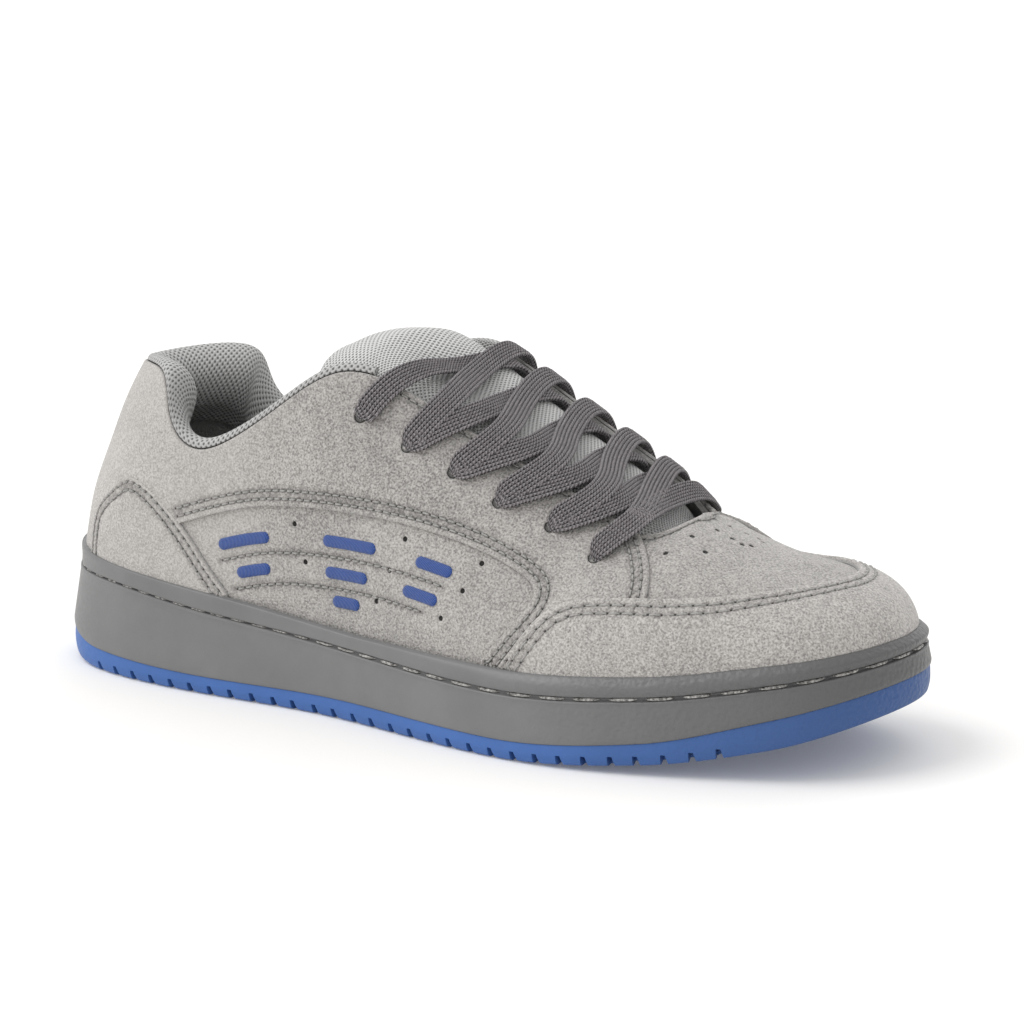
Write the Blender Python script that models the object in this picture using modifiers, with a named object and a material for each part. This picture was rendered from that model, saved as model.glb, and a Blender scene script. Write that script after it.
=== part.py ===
"""A low suede sneaker with a cupsole: one shoe, right foot, standing empty on its sole.

+X points to the toe, +Y to the inner (medial) side of the foot, +Z up. Lengths in the tables are
millimetres and become metres when a mesh is made. Every soft piece follows one form, the last: ribs
that rise from the feather line, where the upper meets the sole, to the top line.
"""

import bmesh
import bpy
import numpy as np
from mathutils import Matrix, Vector

for old in list(bpy.data.objects):
    bpy.data.objects.remove(old)

MM = 0.001
LATERAL, MEDIAL = -1, 1

# Overall sizes
LENGTH = 300.0        # heel to toe of the sole
SIDE_SHIFT = 1.32     # brings the middle of the sole's box to Y = 0
TOE_SHIFT = 6.5       # the toe tip lies a little to the inner side
GAP = 0.3             # between neighbouring pieces
WELD = 0.02           # points nearer than this are one

# Sole outline, seen from above: distance from the heel as a part of the length, and half widths
# name, along, lateral, medial
OUTLINE = (
    ("toe_corner", 0.955, 27.0, 37.0),
    ("toe_side", 0.870, 41.5, 46.0),
    ("tread", 0.740, 53.5, 53.0),
    ("ball", 0.630, 56.0, 52.0),
    ("waist_front", 0.500, 49.5, 44.0),
    ("waist", 0.380, 42.5, 39.5),
    ("heel_front", 0.250, 41.5, 40.0),
    ("heel", 0.120, 37.5, 38.5),
    ("heel_corner", 0.035, 25.0, 26.0),
)

# Heights of the sole along its length
# along, ground, seam of outsole and cup, stitch groove, lip, floor inside the cup, lean of the wall
SOLE = (
    (0.00, 2.0, 13.4, 31.6, 39.4, 22.0, 2.6),
    (0.08, 0.0, 7.7, 31.1, 37.2, 21.5, 2.5),
    (0.25, 0.0, 6.2, 26.6, 32.8, 20.0, 2.0),
    (0.45, 0.0, 6.8, 22.3, 27.6, 17.0, 1.4),
    (0.62, 0.0, 6.5, 21.0, 27.6, 15.0, 1.0),
    (0.78, 3.0, 10.3, 23.7, 30.2, 18.0, 1.0),
    (0.90, 9.6, 19.2, 29.3, 35.6, 25.0, 1.0),
    (1.00, 19.0, 28.0, 35.3, 40.4, 31.5, 1.0),
)
GROUND, SEAM, GROOVE, LIP, FLOOR, LEAN = range(1, 7)

# Ribs of the last on each side. The foot is a place on the outline, the top a point of the top line.
# lean turns the rib outwards at its foot, pitch is its rise at the top, belly and crown its fullness.
# name, foot along, top along, top y, top z, lean, pitch, belly, crown
LATERAL_RIBS = (
    ("toe_tip", 1.000, 0.888, 7.0, 58.6, -14, 14, 0.36, 0.44),
    ("toe_corner", 0.965, 0.880, 7.0, 59.0, -8, 11, 0.36, 0.44),
    ("toe_side", 0.912, 0.856, 6.0, 60.2, -2, 6, 0.36, 0.46),
    ("vamp", 0.858, 0.818, 5.0, 63.2, 1, 1, 0.36, 0.46),
    ("throat", 0.800, 0.758, 4.0, 70.4, 2, 3, 0.36, 0.46),
    ("throat_corner", 0.722, 0.732, -16.6, 67.2, 3, 26, 0.36, 0.40),
    ("lace_low", 0.630, 0.675, -18.0, 73.0, 2, 40, 0.36, 0.38),
    ("lace_mid", 0.540, 0.570, -19.5, 86.5, 1, 46, 0.36, 0.38),
    ("lace_top", 0.450, 0.460, -21.5, 102.2, 0, 54, 0.36, 0.38),
    ("collar_peak", 0.390, 0.385, -26.5, 107.4, 0, 66, 0.36, 0.36),
    ("collar_front", 0.310, 0.314, -30.5, 94.6, 0, 76, 0.36, 0.36),
    ("collar_dip", 0.225, 0.225, -32.0, 78.4, 0, 82, 0.36, 0.36),
    ("collar_back", 0.150, 0.177, -30.5, 86.6, -1, 80, 0.36, 0.36),
    ("heel_wing", 0.075, 0.152, -24.5, 100.6, -4, 67, 0.38, 0.40),
    ("heel_back", 0.000, 0.086, 0.0, 98.4, -13, 58, 0.36, 0.40),
)
MEDIAL_RIBS = (
    ("toe_tip", 1.000, 0.888, 7.0, 58.6, -14, 14, 0.36, 0.44),
    ("toe_corner", 0.965, 0.880, 7.0, 59.0, -8, 11, 0.36, 0.44),
    ("toe_side", 0.905, 0.856, 6.0, 60.2, -2, 7, 0.36, 0.46),
    ("vamp", 0.850, 0.818, 5.0, 63.2, 1, 9, 0.36, 0.40),
    ("throat", 0.795, 0.758, 4.0, 70.4, 2, 12, 0.36, 0.38),
    ("throat_corner", 0.730, 0.738, 20.5, 66.8, 3, 26, 0.36, 0.40),
    ("lace_low", 0.650, 0.700, 23.5, 74.0, 2, 42, 0.36, 0.38),
    ("lace_mid", 0.565, 0.605, 25.0, 89.0, 1, 50, 0.36, 0.38),
    ("lace_top", 0.475, 0.510, 26.0, 104.2, 0, 60, 0.36, 0.38),
    ("collar_peak", 0.400, 0.440, 28.0, 108.4, 0, 68, 0.36, 0.36),
    ("collar_front", 0.315, 0.340, 30.5, 95.0, 0, 76, 0.36, 0.36),
    ("collar_dip", 0.225, 0.235, 32.0, 77.6, 0, 82, 0.36, 0.36),
    ("collar_back", 0.150, 0.177, 30.5, 85.4, -1, 80, 0.36, 0.36),
    ("heel_wing", 0.075, 0.148, 24.5, 98.6, -4, 67, 0.38, 0.40),
    ("heel_back", 0.000, 0.086, 0.0, 98.4, -13, 58, 0.36, 0.40),
)
# mesh columns between each rib and the next, and mesh rows up a rib
COLUMNS = (4, 3, 2, 2, 3, 2, 2, 2, 2, 2, 2, 2, 2, 4)
ROWS = (0.0, 0.14, 0.32, 0.50, 0.68, 0.85, 1.0)
RIDGE_END = 4         # ribs up to this one close over the vamp
HEEL = len(LATERAL_RIBS) - 1
NORMAL_TOP = 0.95     # above this height the normals are those of the place just below

# Upper and the pieces laid on it, measured out from the form
FEATHER = -4.8        # the form's feather line, in from the outline
UPPER_FACE = -1.0
UPPER_WALL = 1.8
PANEL_FACE = UPPER_FACE + 0.4
QUARTER_WALL = 0.9
GUARD_WALL = 1.5
PANEL_LIFT = 0.8      # panels start this far above the lip
INSIDE_HEIGHT = 30.0  # height of a point inside the shoe

# Side views of the panel edges, x and z
GUARD_EDGE = (
    (34.0, 24.0), (36.6, 27.8), (40.8, 33.5), (46.4, 41.5), (50.1, 45.6), (54.5, 48.4), (60.0, 50.0),
    (68.0, 51.1), (82.0, 52.3), (96.0, 53.0), (105.0, 53.7), (116.5, 55.0), (124.5, 55.5), (130.0, 55.7),
    (150.0, 56.2),
)
FIN_EDGE = (
    (-63.5, 24.0), (-71.3, 33.0), (-77.8, 39.8), (-86.4, 49.4), (-96.8, 58.6), (-104.6, 63.5),
    (-112.8, 65.4), (-120.6, 61.1), (-128.4, 53.5), (-131.4, 43.0), (-131.8, 24.0),
)
WINDOW_EDGE = (
    (26.0, 24.0), (35.1, 34.9), (41.0, 42.4), (44.2, 47.6), (43.8, 51.2), (35.9, 55.6),
    (15.5, 61.7), (-13.4, 65.4), (-43.8, 65.0), (-67.0, 61.6), (-94.0, 52.6),
)
EYESTAY_FRONT = (
    (65.0, 140.0), (65.6, 67.4), (69.9, 64.5), (72.8, 62.9), (76.7, 60.4), (79.8, 57.4), (82.0, 52.8),
)
EYESTAY_SKEW = 0.13   # the inner side's front edge lies further forward, per mm across
SKEW_FROM = -25.0     # the y at which the side view holds
REACH = 140.0         # a panel's cutter goes this far to each side
MIDDLE = 5.0          # the heel panels' cutters keep this far from the middle

# Lace holes: rib position and height on the rib, lateral and medial, from the top down
EYELETS = (
    (8.57, 0.84, 8.00, 0.86),
    (7.84, 0.81, 7.46, 0.84),
    (7.32, 0.81, 6.97, 0.83),
    (6.83, 0.79, 6.52, 0.82),
    (6.27, 0.80, 6.04, 0.81),
    (5.54, 0.755, 5.40, 0.80),
)
EYELET_RADIUS = 2.0
EYELET_SIDES = 8
EYELET_REACH = 14.0   # length of the cutter through upper and quarter

LACE_WIDTH = 8.0
LACE_THICK = 1.5
LACE_STEPS = (0.0, 0.08, 0.16, 0.3, 0.5, 0.7, 0.84, 0.92, 1.0)  # sections along a strap
LACE_LIFT = 2.2       # middle of the lower layer above the form
LACE_STEP = 1.3       # from the lower layer to the upper one
THROAT_RISE = 1.0     # the arch over the throat rises this far over its two edges
ACROSS = (0.0, 0.15, 0.5, 0.85, 1.0)  # hole, throat edge, middle, throat edge, hole
# how far a strap swings along the ribs by the time it crosses the throat's edges
UPPER_SWING = (-0.18, 0.14)
LOWER_SWING = (-0.36, 0.0)
LOWER_TUCK = -4.5     # the lower straps run under the inner edge of the throat
LOWER_END = 0.74      # and stop this far across
LACE_ASIDE = 0.1      # ribs between a strap's middle and the line beside it that gives its slope

# Tongue sections: rib position, drop of its face under the laces, thickness, shift in x and z, and how
# far its edges lie in from the form on the outer and the inner side
TONGUE = (
    ("tip", 4.75, 3.6, 2.0, 12.0, -9.0, -8.0, -8.0),
    ("under_vamp", 4.75, 2.6, 2.6, 4.0, -6.4, -6.6, -6.6),
    ("throat", 5.1, 2.4, 4.0, -1.0, -2.0, -4.6, -4.6),
    ("low", 5.7, 2.4, 6.0, 0.0, 0.0, -3.6, -5.6),
    ("mid_low", 6.4, 2.4, 7.0, 0.0, 0.0, -3.6, -7.1),
    ("mid", 7.1, 2.4, 7.5, 0.0, 0.0, -3.6, -7.1),
    ("high", 7.8, 2.4, 8.0, 0.0, 0.0, -4.0, -7.1),
    ("neck", 8.3, 2.0, 9.0, 0.0, 0.0, -5.0, -7.1),
    ("swell", 8.6, -2.4, 10.0, 0.0, 0.0, -6.2, -7.1),
    ("crown", 8.85, -6.8, 10.0, -1.0, 0.0, -7.4, -7.4),
    ("top", 9.05, -7.0, 8.0, -4.0, 0.0, -8.0, -8.0),
    ("edge", 9.15, -4.4, 4.5, -8.0, 0.0, -8.5, -8.5),
)
TONGUE_THIN = 0.2     # its sides have this part of its thickness
TONGUE_ACROSS = (0.04, 0.15, 0.27, 0.38, 0.5, 0.62, 0.73, 0.85, 0.96)

# Collar roll, a section across the top edge: down the wall from the edge, in from the form
LINING = (
    (-0.5, 0.9), (-1.9, 0.2), (-3.2, 1.4), (-3.6, 3.6), (-2.6, 6.4), (1.0, 9.2), (7.0, 10.4), (14.0, 9.4),
    (21.0, 6.6), (26.0, 4.2), (13.0, 3.6), (-0.5, 3.4),
)
LINING_START = 8.4    # the roll begins after this rib, by the top lace hole
LINING_BACK = 3.4     # its back, against the inside of the wall
LINING_THIN = 0.25    # part of its padding at its front ends
LINING_RUN = 2.4      # ribs until it has all its padding
LINING_HEEL = 1.5     # part of its padding at the heel
HEEL_FROM, HEEL_RUN = 11.4, 1.4  # rib where the heel padding begins, and ribs until it is full
BELOW_TOP = 0.97      # a height just under the top line, which gives the wall's slope there
RIB_BOW = 1.08        # a rib's length over the straight line between its ends

# Insole and cup
INSOLE_THICK = 5.0
CUP_INNER = FEATHER + UPPER_FACE + GAP
INSOLE_EDGE = FEATHER + UPPER_FACE - UPPER_WALL - 0.4

# Notches across the outsole's edge
NOTCH_FIRST, NOTCH_PITCH, NOTCH_COUNT = -124.0, 8.0, 30
NOTCH_WIDTH, NOTCH_HEIGHT, NOTCH_DEPTH = 1.5, 3.4, 9.0
NOTCH_INSET = 1.5     # middle of a notch's cutter, in from the outline
NOTCH_TALL = 12.0     # the cutter goes down past the ground


def spline(x, knots, values):
    """Cubic spline with no bend at its ends."""
    knots, values, x = np.asarray(knots, float), np.asarray(values, float), np.asarray(x, float)
    n, h = len(knots), np.diff(knots)
    system, right = np.eye(n), np.zeros_like(values)
    for i in range(1, n - 1):
        system[i, i - 1:i + 2] = h[i - 1], 2 * (h[i - 1] + h[i]), h[i]
        right[i] = 6 * ((values[i + 1] - values[i]) / h[i] - (values[i] - values[i - 1]) / h[i - 1])
    bend = np.linalg.solve(system, right)
    k = np.clip(np.searchsorted(knots, x, side="right") - 1, 0, n - 2)
    shape = x.shape + (1,) * (values.ndim - 1)
    hk, a, b = h[k].reshape(shape), (knots[k + 1] - x).reshape(shape), (x - knots[k]).reshape(shape)
    return (bend[k] * a**3 + bend[k + 1] * b**3) / (6 * hk) + (values[k] / hk - bend[k] * hk / 6) * a + (
        values[k + 1] / hk - bend[k + 1] * hk / 6) * b


def monotone(x, knots, values):
    """Cubic through the knots that never swings past them."""
    knots, values = np.asarray(knots, float), np.asarray(values, float)
    h = np.diff(knots)
    d = np.diff(values) / h
    m = np.concatenate([d[:1], np.zeros(len(knots) - 2), d[-1:]])
    for i in range(1, len(knots) - 1):
        if d[i - 1] * d[i] > 0:
            w1, w2 = 2 * h[i] + h[i - 1], h[i] + 2 * h[i - 1]
            m[i] = (w1 + w2) / (w1 / d[i - 1] + w2 / d[i])
    x = np.clip(x, knots[0], knots[-1])
    k = np.clip(np.searchsorted(knots, x, side="right") - 1, 0, len(knots) - 2)
    t = (x - knots[k]) / h[k]
    return (values[k] * (1 + 2 * t) * (1 - t) ** 2 + h[k] * m[k] * t * (1 - t) ** 2
            + values[k + 1] * t * t * (3 - 2 * t) + h[k] * m[k + 1] * t * t * (t - 1))


def place(along):
    return LENGTH * (np.asarray(along) - 0.5)


def sole_outline(count=1440):
    """Dense closed outline from the toe tip round the lateral side, and its outward normals."""
    lateral = [(place(along), -width) for _, along, width, _ in OUTLINE]
    medial = [(place(along), width) for _, along, _, width in OUTLINE]
    knots = np.array([(place(1.0), TOE_SHIFT)] + lateral + [(place(0.0), 0.0)] + medial[::-1])
    wrap = np.vstack([knots[-3:], knots, knots[:4]])
    steps = np.concatenate([[0], np.cumsum(np.linalg.norm(np.diff(wrap, axis=0), axis=1) ** 0.5)])
    points = spline(np.linspace(steps[3], steps[3 + len(knots)], count, endpoint=False), steps, wrap)
    along = np.roll(points, -1, 0) - np.roll(points, 1, 0)
    along /= np.linalg.norm(along, axis=1)[:, None]
    return points, np.column_stack([-along[:, 1], along[:, 0]])


def half_outline(side):
    """One side from toe tip to heel: points, normals and the part of the arc covered."""
    points, normals = sole_outline()
    heel = int(np.argmin(points[:, 0]))
    pick = np.arange(heel + 1) if side == LATERAL else np.r_[0, np.arange(len(points) - 1, heel - 1, -1)]
    points, normals = points[pick], normals[pick]
    arc = np.concatenate([[0], np.cumsum(np.linalg.norm(np.diff(points, axis=0), axis=1))])
    return points, normals, arc / arc[-1]


HALVES = {side: half_outline(side) for side in (LATERAL, MEDIAL)}
RIBS = {side: np.array([row[1:] for row in rows]) for side, rows in (
    (LATERAL, LATERAL_RIBS), (MEDIAL, MEDIAL_RIBS))}


def sole_height(x, column):
    table = np.array(SOLE)
    return monotone(np.clip(np.asarray(x) / LENGTH + 0.5, 0, 1), table[:, 0], table[:, column])


def foot(k, side, offset):
    """Points of the outline under rib positions k, and the outward normals there."""
    points, normals, arc = HALVES[side]
    feet = np.interp(-RIBS[side][:, 0], -(points[:, 0] / LENGTH + 0.5), arc)
    part = np.clip(monotone(k, np.arange(HEEL + 1.0), feet), 0, 1)
    p = np.column_stack([np.interp(part, arc, points[:, i]) for i in (0, 1)])
    n = np.column_stack([np.interp(part, arc, normals[:, i]) for i in (0, 1)])
    n /= np.linalg.norm(n, axis=1)[:, None]
    return p + n * np.asarray(offset).reshape(-1, 1), n


def rib_values(k, side):
    """Table values between the ribs, smooth where the two sides meet at toe, throat and heel."""
    own, other = RIBS[side][:, 1:], RIBS[-side][:, 1:]
    knots = np.arange(-2.0, HEEL + 3)
    values = spline(k, knots, np.vstack([other[2:0:-1], own, other[-2:-4:-1]]))
    ridge = spline(k, knots[:RIDGE_END + 3], np.vstack([other[2:0:-1], own[:RIDGE_END + 1]])[:, :3])
    over_throat = np.vstack([other[RIDGE_END + 2:RIDGE_END:-1], own[RIDGE_END:], other[-2:-4:-1]])[:, :3]
    edge = spline(k, knots[RIDGE_END:], over_throat)
    values[:, :3] = np.where(np.asarray(k)[:, None] < RIDGE_END, ridge, edge)
    return values


def ribs(k, side):
    """Four control points of the rib curve at each rib position."""
    k = np.asarray(k, float)
    p, n = foot(k, side, FEATHER)
    top_along, top_y, top_z, lean, pitch, belly, crown = rib_values(k, side).T
    start = np.column_stack([p, sole_height(p[:, 0], LIP)])
    end = np.column_stack([place(top_along), top_y, top_z])
    lean, pitch = np.radians(lean)[:, None], np.radians(pitch)[:, None]
    rise = np.array([0.0, 0.0, 1.0])
    outwards = np.column_stack([n, np.zeros(len(n))])
    across = (end - start) * (1, 1, 0)
    across /= np.linalg.norm(across, axis=1)[:, None]
    size = np.linalg.norm(end - start, axis=1)[:, None]
    low = start + (rise * np.cos(lean) + outwards * np.sin(lean)) * size * belly[:, None]
    high = end - (across * np.cos(pitch) + rise * np.sin(pitch)) * size * crown[:, None]
    return start, low, high, end


def on_ribs(k, t, side):
    """Points of the form at matching arrays of rib positions and heights (0 foot, 1 top)."""
    a, b, c, d = ribs(k, side)
    t = np.asarray(t, float).reshape(-1, 1)
    return a * (1 - t) ** 3 + 3 * b * t * (1 - t) ** 2 + 3 * c * t * t * (1 - t) + d * t**3


def form(k, t, side, offset=0.0):
    """Points of the form pushed out along its normal, and that normal."""
    k, t = np.broadcast_arrays(np.asarray(k, float), np.asarray(t, float))
    k, t = k.ravel(), t.ravel()
    s = np.minimum(t, NORMAL_TOP)
    dk = on_ribs(np.clip(k + 0.02, 0, HEEL), s, side) - on_ribs(np.clip(k - 0.02, 0, HEEL), s, side)
    dt = on_ribs(k, s + 0.01, side) - on_ribs(k, np.clip(s - 0.01, 0, 1), side)
    normal = np.cross(dt, dk) * -side
    normal /= np.linalg.norm(normal, axis=1)[:, None]
    return on_ribs(k, t, side) + normal * np.asarray(offset).reshape(-1, 1), normal


def rib_columns():
    parts = [np.linspace(i, i + 1, n, endpoint=False) for i, n in enumerate(COLUMNS)]
    return np.concatenate(parts + [[float(HEEL)]])


STEPS = rib_columns()
LAST = len(STEPS) - 1
LOOP = [(k, LATERAL) for k in STEPS] + [(k, MEDIAL) for k in STEPS[-2:0:-1]]


def by_side(function):
    """Runs function(k, side) for both sides and strings the results into the closed loop of columns."""
    lateral, medial = function(STEPS, LATERAL), function(STEPS, MEDIAL)
    return np.concatenate([lateral, medial[-2:0:-1]])


def material(name, colour, roughness):
    made = bpy.data.materials.new(name)
    made.use_nodes = True
    shader = made.node_tree.nodes["Principled BSDF"]
    shader.inputs["Base Color"].default_value = (*colour, 1.0)
    shader.inputs["Roughness"].default_value = roughness
    return made


SUEDE = material("suede", (0.45, 0.43, 0.41), 0.95)
MESH_CLOTH = material("mesh", (0.33, 0.33, 0.34), 0.9)
LACE_WEAVE = material("lace", (0.14, 0.13, 0.14), 0.9)
CUP_RUBBER = material("cup_rubber", (0.20, 0.20, 0.21), 0.6)
SOLE_RUBBER = material("sole_rubber", (0.06, 0.16, 0.48), 0.6)
FOAM = material("foam", (0.25, 0.25, 0.26), 0.95)

PARTS = bpy.data.collections.new("sneaker")
CUTTERS = bpy.data.collections.new("cutters")
for group in (PARTS, CUTTERS):
    bpy.context.scene.collection.children.link(group)


def cutter(name, mesh):
    """A helper object that cuts or joins and is never rendered."""
    obj = bpy.data.objects.new(name, mesh)
    CUTTERS.objects.link(obj)
    obj.hide_render = True
    obj.display_type = "WIRE"
    return obj


def solid(name, points, faces, look, helper=False):
    """A mesh object from points in millimetres, welded and facing out."""
    mesh = bpy.data.meshes.new(name)
    placed = (np.asarray(points, float) + (0, SIDE_SHIFT, 0)) * MM
    mesh.from_pydata([tuple(p) for p in placed], [], faces)
    bm = bmesh.new()
    bm.from_mesh(mesh)
    bmesh.ops.remove_doubles(bm, verts=bm.verts, dist=WELD * MM)
    bmesh.ops.recalc_face_normals(bm, faces=bm.faces)
    bm.to_mesh(mesh)
    bm.free()
    if helper:
        return cutter(name, mesh)
    mesh.materials.append(look)
    obj = bpy.data.objects.new(name, mesh)
    PARTS.objects.link(obj)
    return obj


def boolean(obj, operation, other):
    cut = obj.modifiers.new(operation.lower(), "BOOLEAN")
    cut.operation, cut.object, cut.solver = operation, other, "EXACT"


def loop_faces(rings, columns):
    """Quads between closed rings of the same number of points."""
    faces = []
    for r in range(rings - 1):
        for j in range(columns):
            n = (j + 1) % columns
            faces.append((r * columns + j, r * columns + n, (r + 1) * columns + n, (r + 1) * columns + j))
    return faces


def rung_faces(first):
    """Closes a ring of the loop with rungs from its lateral to its medial points."""
    count = len(LOOP)
    faces = []
    for j in range(LAST):
        corners = [j, j + 1, (count - j - 1) % count, (count - j) % count]
        faces.append(tuple(first + c for c in dict.fromkeys(corners)))
    return faces


def sole_ring(offset, height):
    """A ring of the loop at an offset from the outline (with the wall's lean, if given) and a height."""
    def side_points(k, side):
        lean, inset = offset if isinstance(offset, tuple) else (0.0, offset)
        x = foot(k, side, 0.0)[0][:, 0]
        p, _ = foot(k, side, inset - lean * sole_height(x, LEAN))
        return np.column_stack([p, height(p[:, 0])])
    return by_side(side_points)


def level(column, add=0.0):
    return lambda x: sole_height(x, column) + add


def ring_solid(name, rings, look):
    points = np.concatenate(rings)
    count = len(LOOP)
    faces = loop_faces(len(rings), count) + rung_faces(0) + rung_faces((len(rings) - 1) * count)
    return solid(name, points, faces, look)


# Outsole
outsole = ring_solid("outsole", [
    sole_ring(-3.0, level(GROUND)),
    sole_ring(-1.0, level(GROUND, 1.2)),
    sole_ring(-0.3, lambda x: 0.5 * (sole_height(x, GROUND) + sole_height(x, SEAM))),
    sole_ring(-0.5, level(SEAM, -GAP)),
], SOLE_RUBBER)

notches = bmesh.new()
for i in range(NOTCH_COUNT):
    x = NOTCH_FIRST + i * NOTCH_PITCH
    for side in (LATERAL, MEDIAL):
        points, normals, _ = HALVES[side]
        j = int(np.argmin(np.abs(points[:, 0] - x)))
        (px, py), (nx, ny) = points[j] - normals[j] * NOTCH_INSET, normals[j]
        top = float(sole_height(px, GROUND)) + NOTCH_HEIGHT
        turn = Matrix.Rotation(np.arctan2(ny, nx), 4, "Z")
        size = Matrix.Diagonal((NOTCH_DEPTH * MM, NOTCH_WIDTH * MM, NOTCH_TALL * MM, 1))
        spot = Matrix.Translation(Vector((px, py + SIDE_SHIFT, top - NOTCH_TALL / 2)) * MM)
        bmesh.ops.create_cube(notches, size=1.0, matrix=spot @ turn @ size)
notch_mesh = bpy.data.meshes.new("notches")
notches.to_mesh(notch_mesh)
notches.free()
boolean(outsole, "DIFFERENCE", cutter("notches", notch_mesh))

# Cup: wall, stitch groove, rolled lip and floor
cup = ring_solid("cupsole", [
    sole_ring(-0.9, level(SEAM)),
    sole_ring(0.0, level(SEAM, 1.4)),
    sole_ring((1, 0.0), level(GROOVE, -1.0)),
    sole_ring((1, -1.3), level(GROOVE, 0.2)),
    sole_ring((1, -0.5), level(GROOVE, 1.4)),
    sole_ring((0.6, -2.0), level(LIP, -0.9)),
    sole_ring((0.4, -3.6), level(LIP, 0.0)),
    sole_ring(CUP_INNER, level(LIP, -0.6)),
    sole_ring(CUP_INNER, level(FLOOR)),
], CUP_RUBBER)

insole = ring_solid("insole", [
    sole_ring(INSOLE_EDGE, level(FLOOR, GAP)),
    sole_ring(INSOLE_EDGE, level(FLOOR, GAP + INSOLE_THICK - 1.2)),
    sole_ring(INSOLE_EDGE - 1.5, level(FLOOR, GAP + INSOLE_THICK)),
], FOAM)


def form_sheet(offset, start, extra=()):
    """Rows of the loop over the form, from start above the feather line; extra rows lie under them."""
    def side_points(k, side):
        a, b, _, _ = ribs(k, side)
        low = start / (3 * np.linalg.norm(b - a, axis=1))
        rows = [form(k, np.maximum(low, t), side, offset)[0] for t in ROWS]
        return np.stack(rows, axis=1)
    grid = by_side(side_points)
    count = len(LOOP)
    for j, k in enumerate(STEPS):
        if 0 < k <= RIDGE_END:
            other = (count - j) % count
            grid[j, -1] = grid[other, -1] = 0.5 * (grid[j, -1] + grid[other, -1])
    return np.concatenate([np.stack(list(extra), axis=1), grid], axis=1) if len(extra) else grid


def sheet_solid(name, grid, wall, look):
    """An open sheet of columns and rows, thickened by wall (outwards if positive)."""
    columns, rows = grid.shape[:2]
    faces = []
    for j in range(columns):
        n = (j + 1) % columns
        for r in range(rows - 1):
            a, b, c, d = j * rows + r, n * rows + r, n * rows + r + 1, j * rows + r + 1
            faces += [(a, b, d), (b, c, d)] if j < LAST else [(a, b, c), (a, c, d)]
    obj = solid(name, grid.reshape(-1, 3), faces, look)
    if faces_inwards(obj):
        obj.data.flip_normals()
    shell = obj.modifiers.new("wall", "SOLIDIFY")
    shell.thickness, shell.offset = abs(wall) * MM, 1.0 if wall > 0 else -1.0
    shell.use_quality_normals = True
    return obj


def faces_inwards(obj):
    """True if the sheet's faces point to the inside of the shoe."""
    middle = Vector((0, 0, INSIDE_HEIGHT * MM))
    return sum((f.center - middle).dot(f.normal) * f.area for f in obj.data.polygons) < 0


# Upper: the wall stands inside the cup and rises to the top line
inside_cup = by_side(lambda k, side: np.column_stack([
    foot(k, side, FEATHER + UPPER_FACE)[0],
    sole_height(foot(k, side, FEATHER + UPPER_FACE)[0][:, 0], FLOOR) + GAP]))
upper = sheet_solid("upper", form_sheet(UPPER_FACE, 0.0, [inside_cup]), -UPPER_WALL, SUEDE)


def prism(name, outline, skew=0.0, low=-REACH, high=REACH):
    """A cutter: a side view, x and z, drawn out across the shoe."""
    count = len(outline)
    points = [(x + skew * (y - SKEW_FROM), y, z) for y in (low, high) for x, z in outline]
    faces = [tuple(range(count)), tuple(range(2 * count - 1, count - 1, -1))]
    faces += [(i, (i + 1) % count, count + (i + 1) % count, count + i) for i in range(count)]
    return solid(name, points, faces, None, helper=True)


def smooth_edge(points, per=2):
    """A spline through hand-placed points, with per points to each stretch."""
    points = np.array(points)
    steps = np.concatenate([[0], np.cumsum(np.linalg.norm(np.diff(points, axis=0), axis=1) ** 0.5)])
    places = np.linspace(0, len(points) - 1, per * (len(points) - 1) + 1)
    return spline(np.interp(places, np.arange(len(points)), steps), steps, points)


def grown(outline, by):
    """The closed outline pushed out by a distance."""
    p = np.asarray(outline)
    along = np.roll(p, -1, 0) - np.roll(p, 1, 0)
    along /= np.linalg.norm(along, axis=1)[:, None]
    area = np.sum(p[:, 0] * np.roll(p[:, 1], -1) - p[:, 1] * np.roll(p[:, 0], -1))
    return p + np.column_stack([along[:, 1], -along[:, 0]]) * by * np.sign(area)


guard_outline = np.vstack([smooth_edge(GUARD_EDGE, 1), [(190.0, 58.5), (190.0, 10.0), (34.0, 10.0)]])
fin_outline = np.vstack([smooth_edge(FIN_EDGE), [(-131.8, 10.0), (-63.5, 10.0)]])
window_outline = np.vstack([smooth_edge(WINDOW_EDGE), [(-90.0, 10.0), (26.0, 10.0)]])
quarter_outline = np.vstack([np.array(EYESTAY_FRONT), [(80.5, 5.0), (-190.0, 5.0), (-190.0, 140.0)]])

# Lace holes
holes = bmesh.new()
for row in EYELETS:
    for side, k, t in ((LATERAL, row[0], row[1]), (MEDIAL, row[2], row[3])):
        (p,), (n,) = form([k], [t], side)
        turn = Vector((0, 0, 1)).rotation_difference(Vector(n)).to_matrix().to_4x4()
        spot = Matrix.Translation(Vector((p[0], p[1] + SIDE_SHIFT, p[2])) * MM)
        bmesh.ops.create_cone(holes, cap_ends=True, segments=EYELET_SIDES, radius1=EYELET_RADIUS * MM,
                              radius2=EYELET_RADIUS * MM, depth=EYELET_REACH * MM, matrix=spot @ turn)
hole_mesh = bpy.data.meshes.new("lace_holes")
holes.to_mesh(hole_mesh)
holes.free()
hole_cutter = cutter("lace_holes", hole_mesh)
boolean(upper, "DIFFERENCE", hole_cutter)

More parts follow.
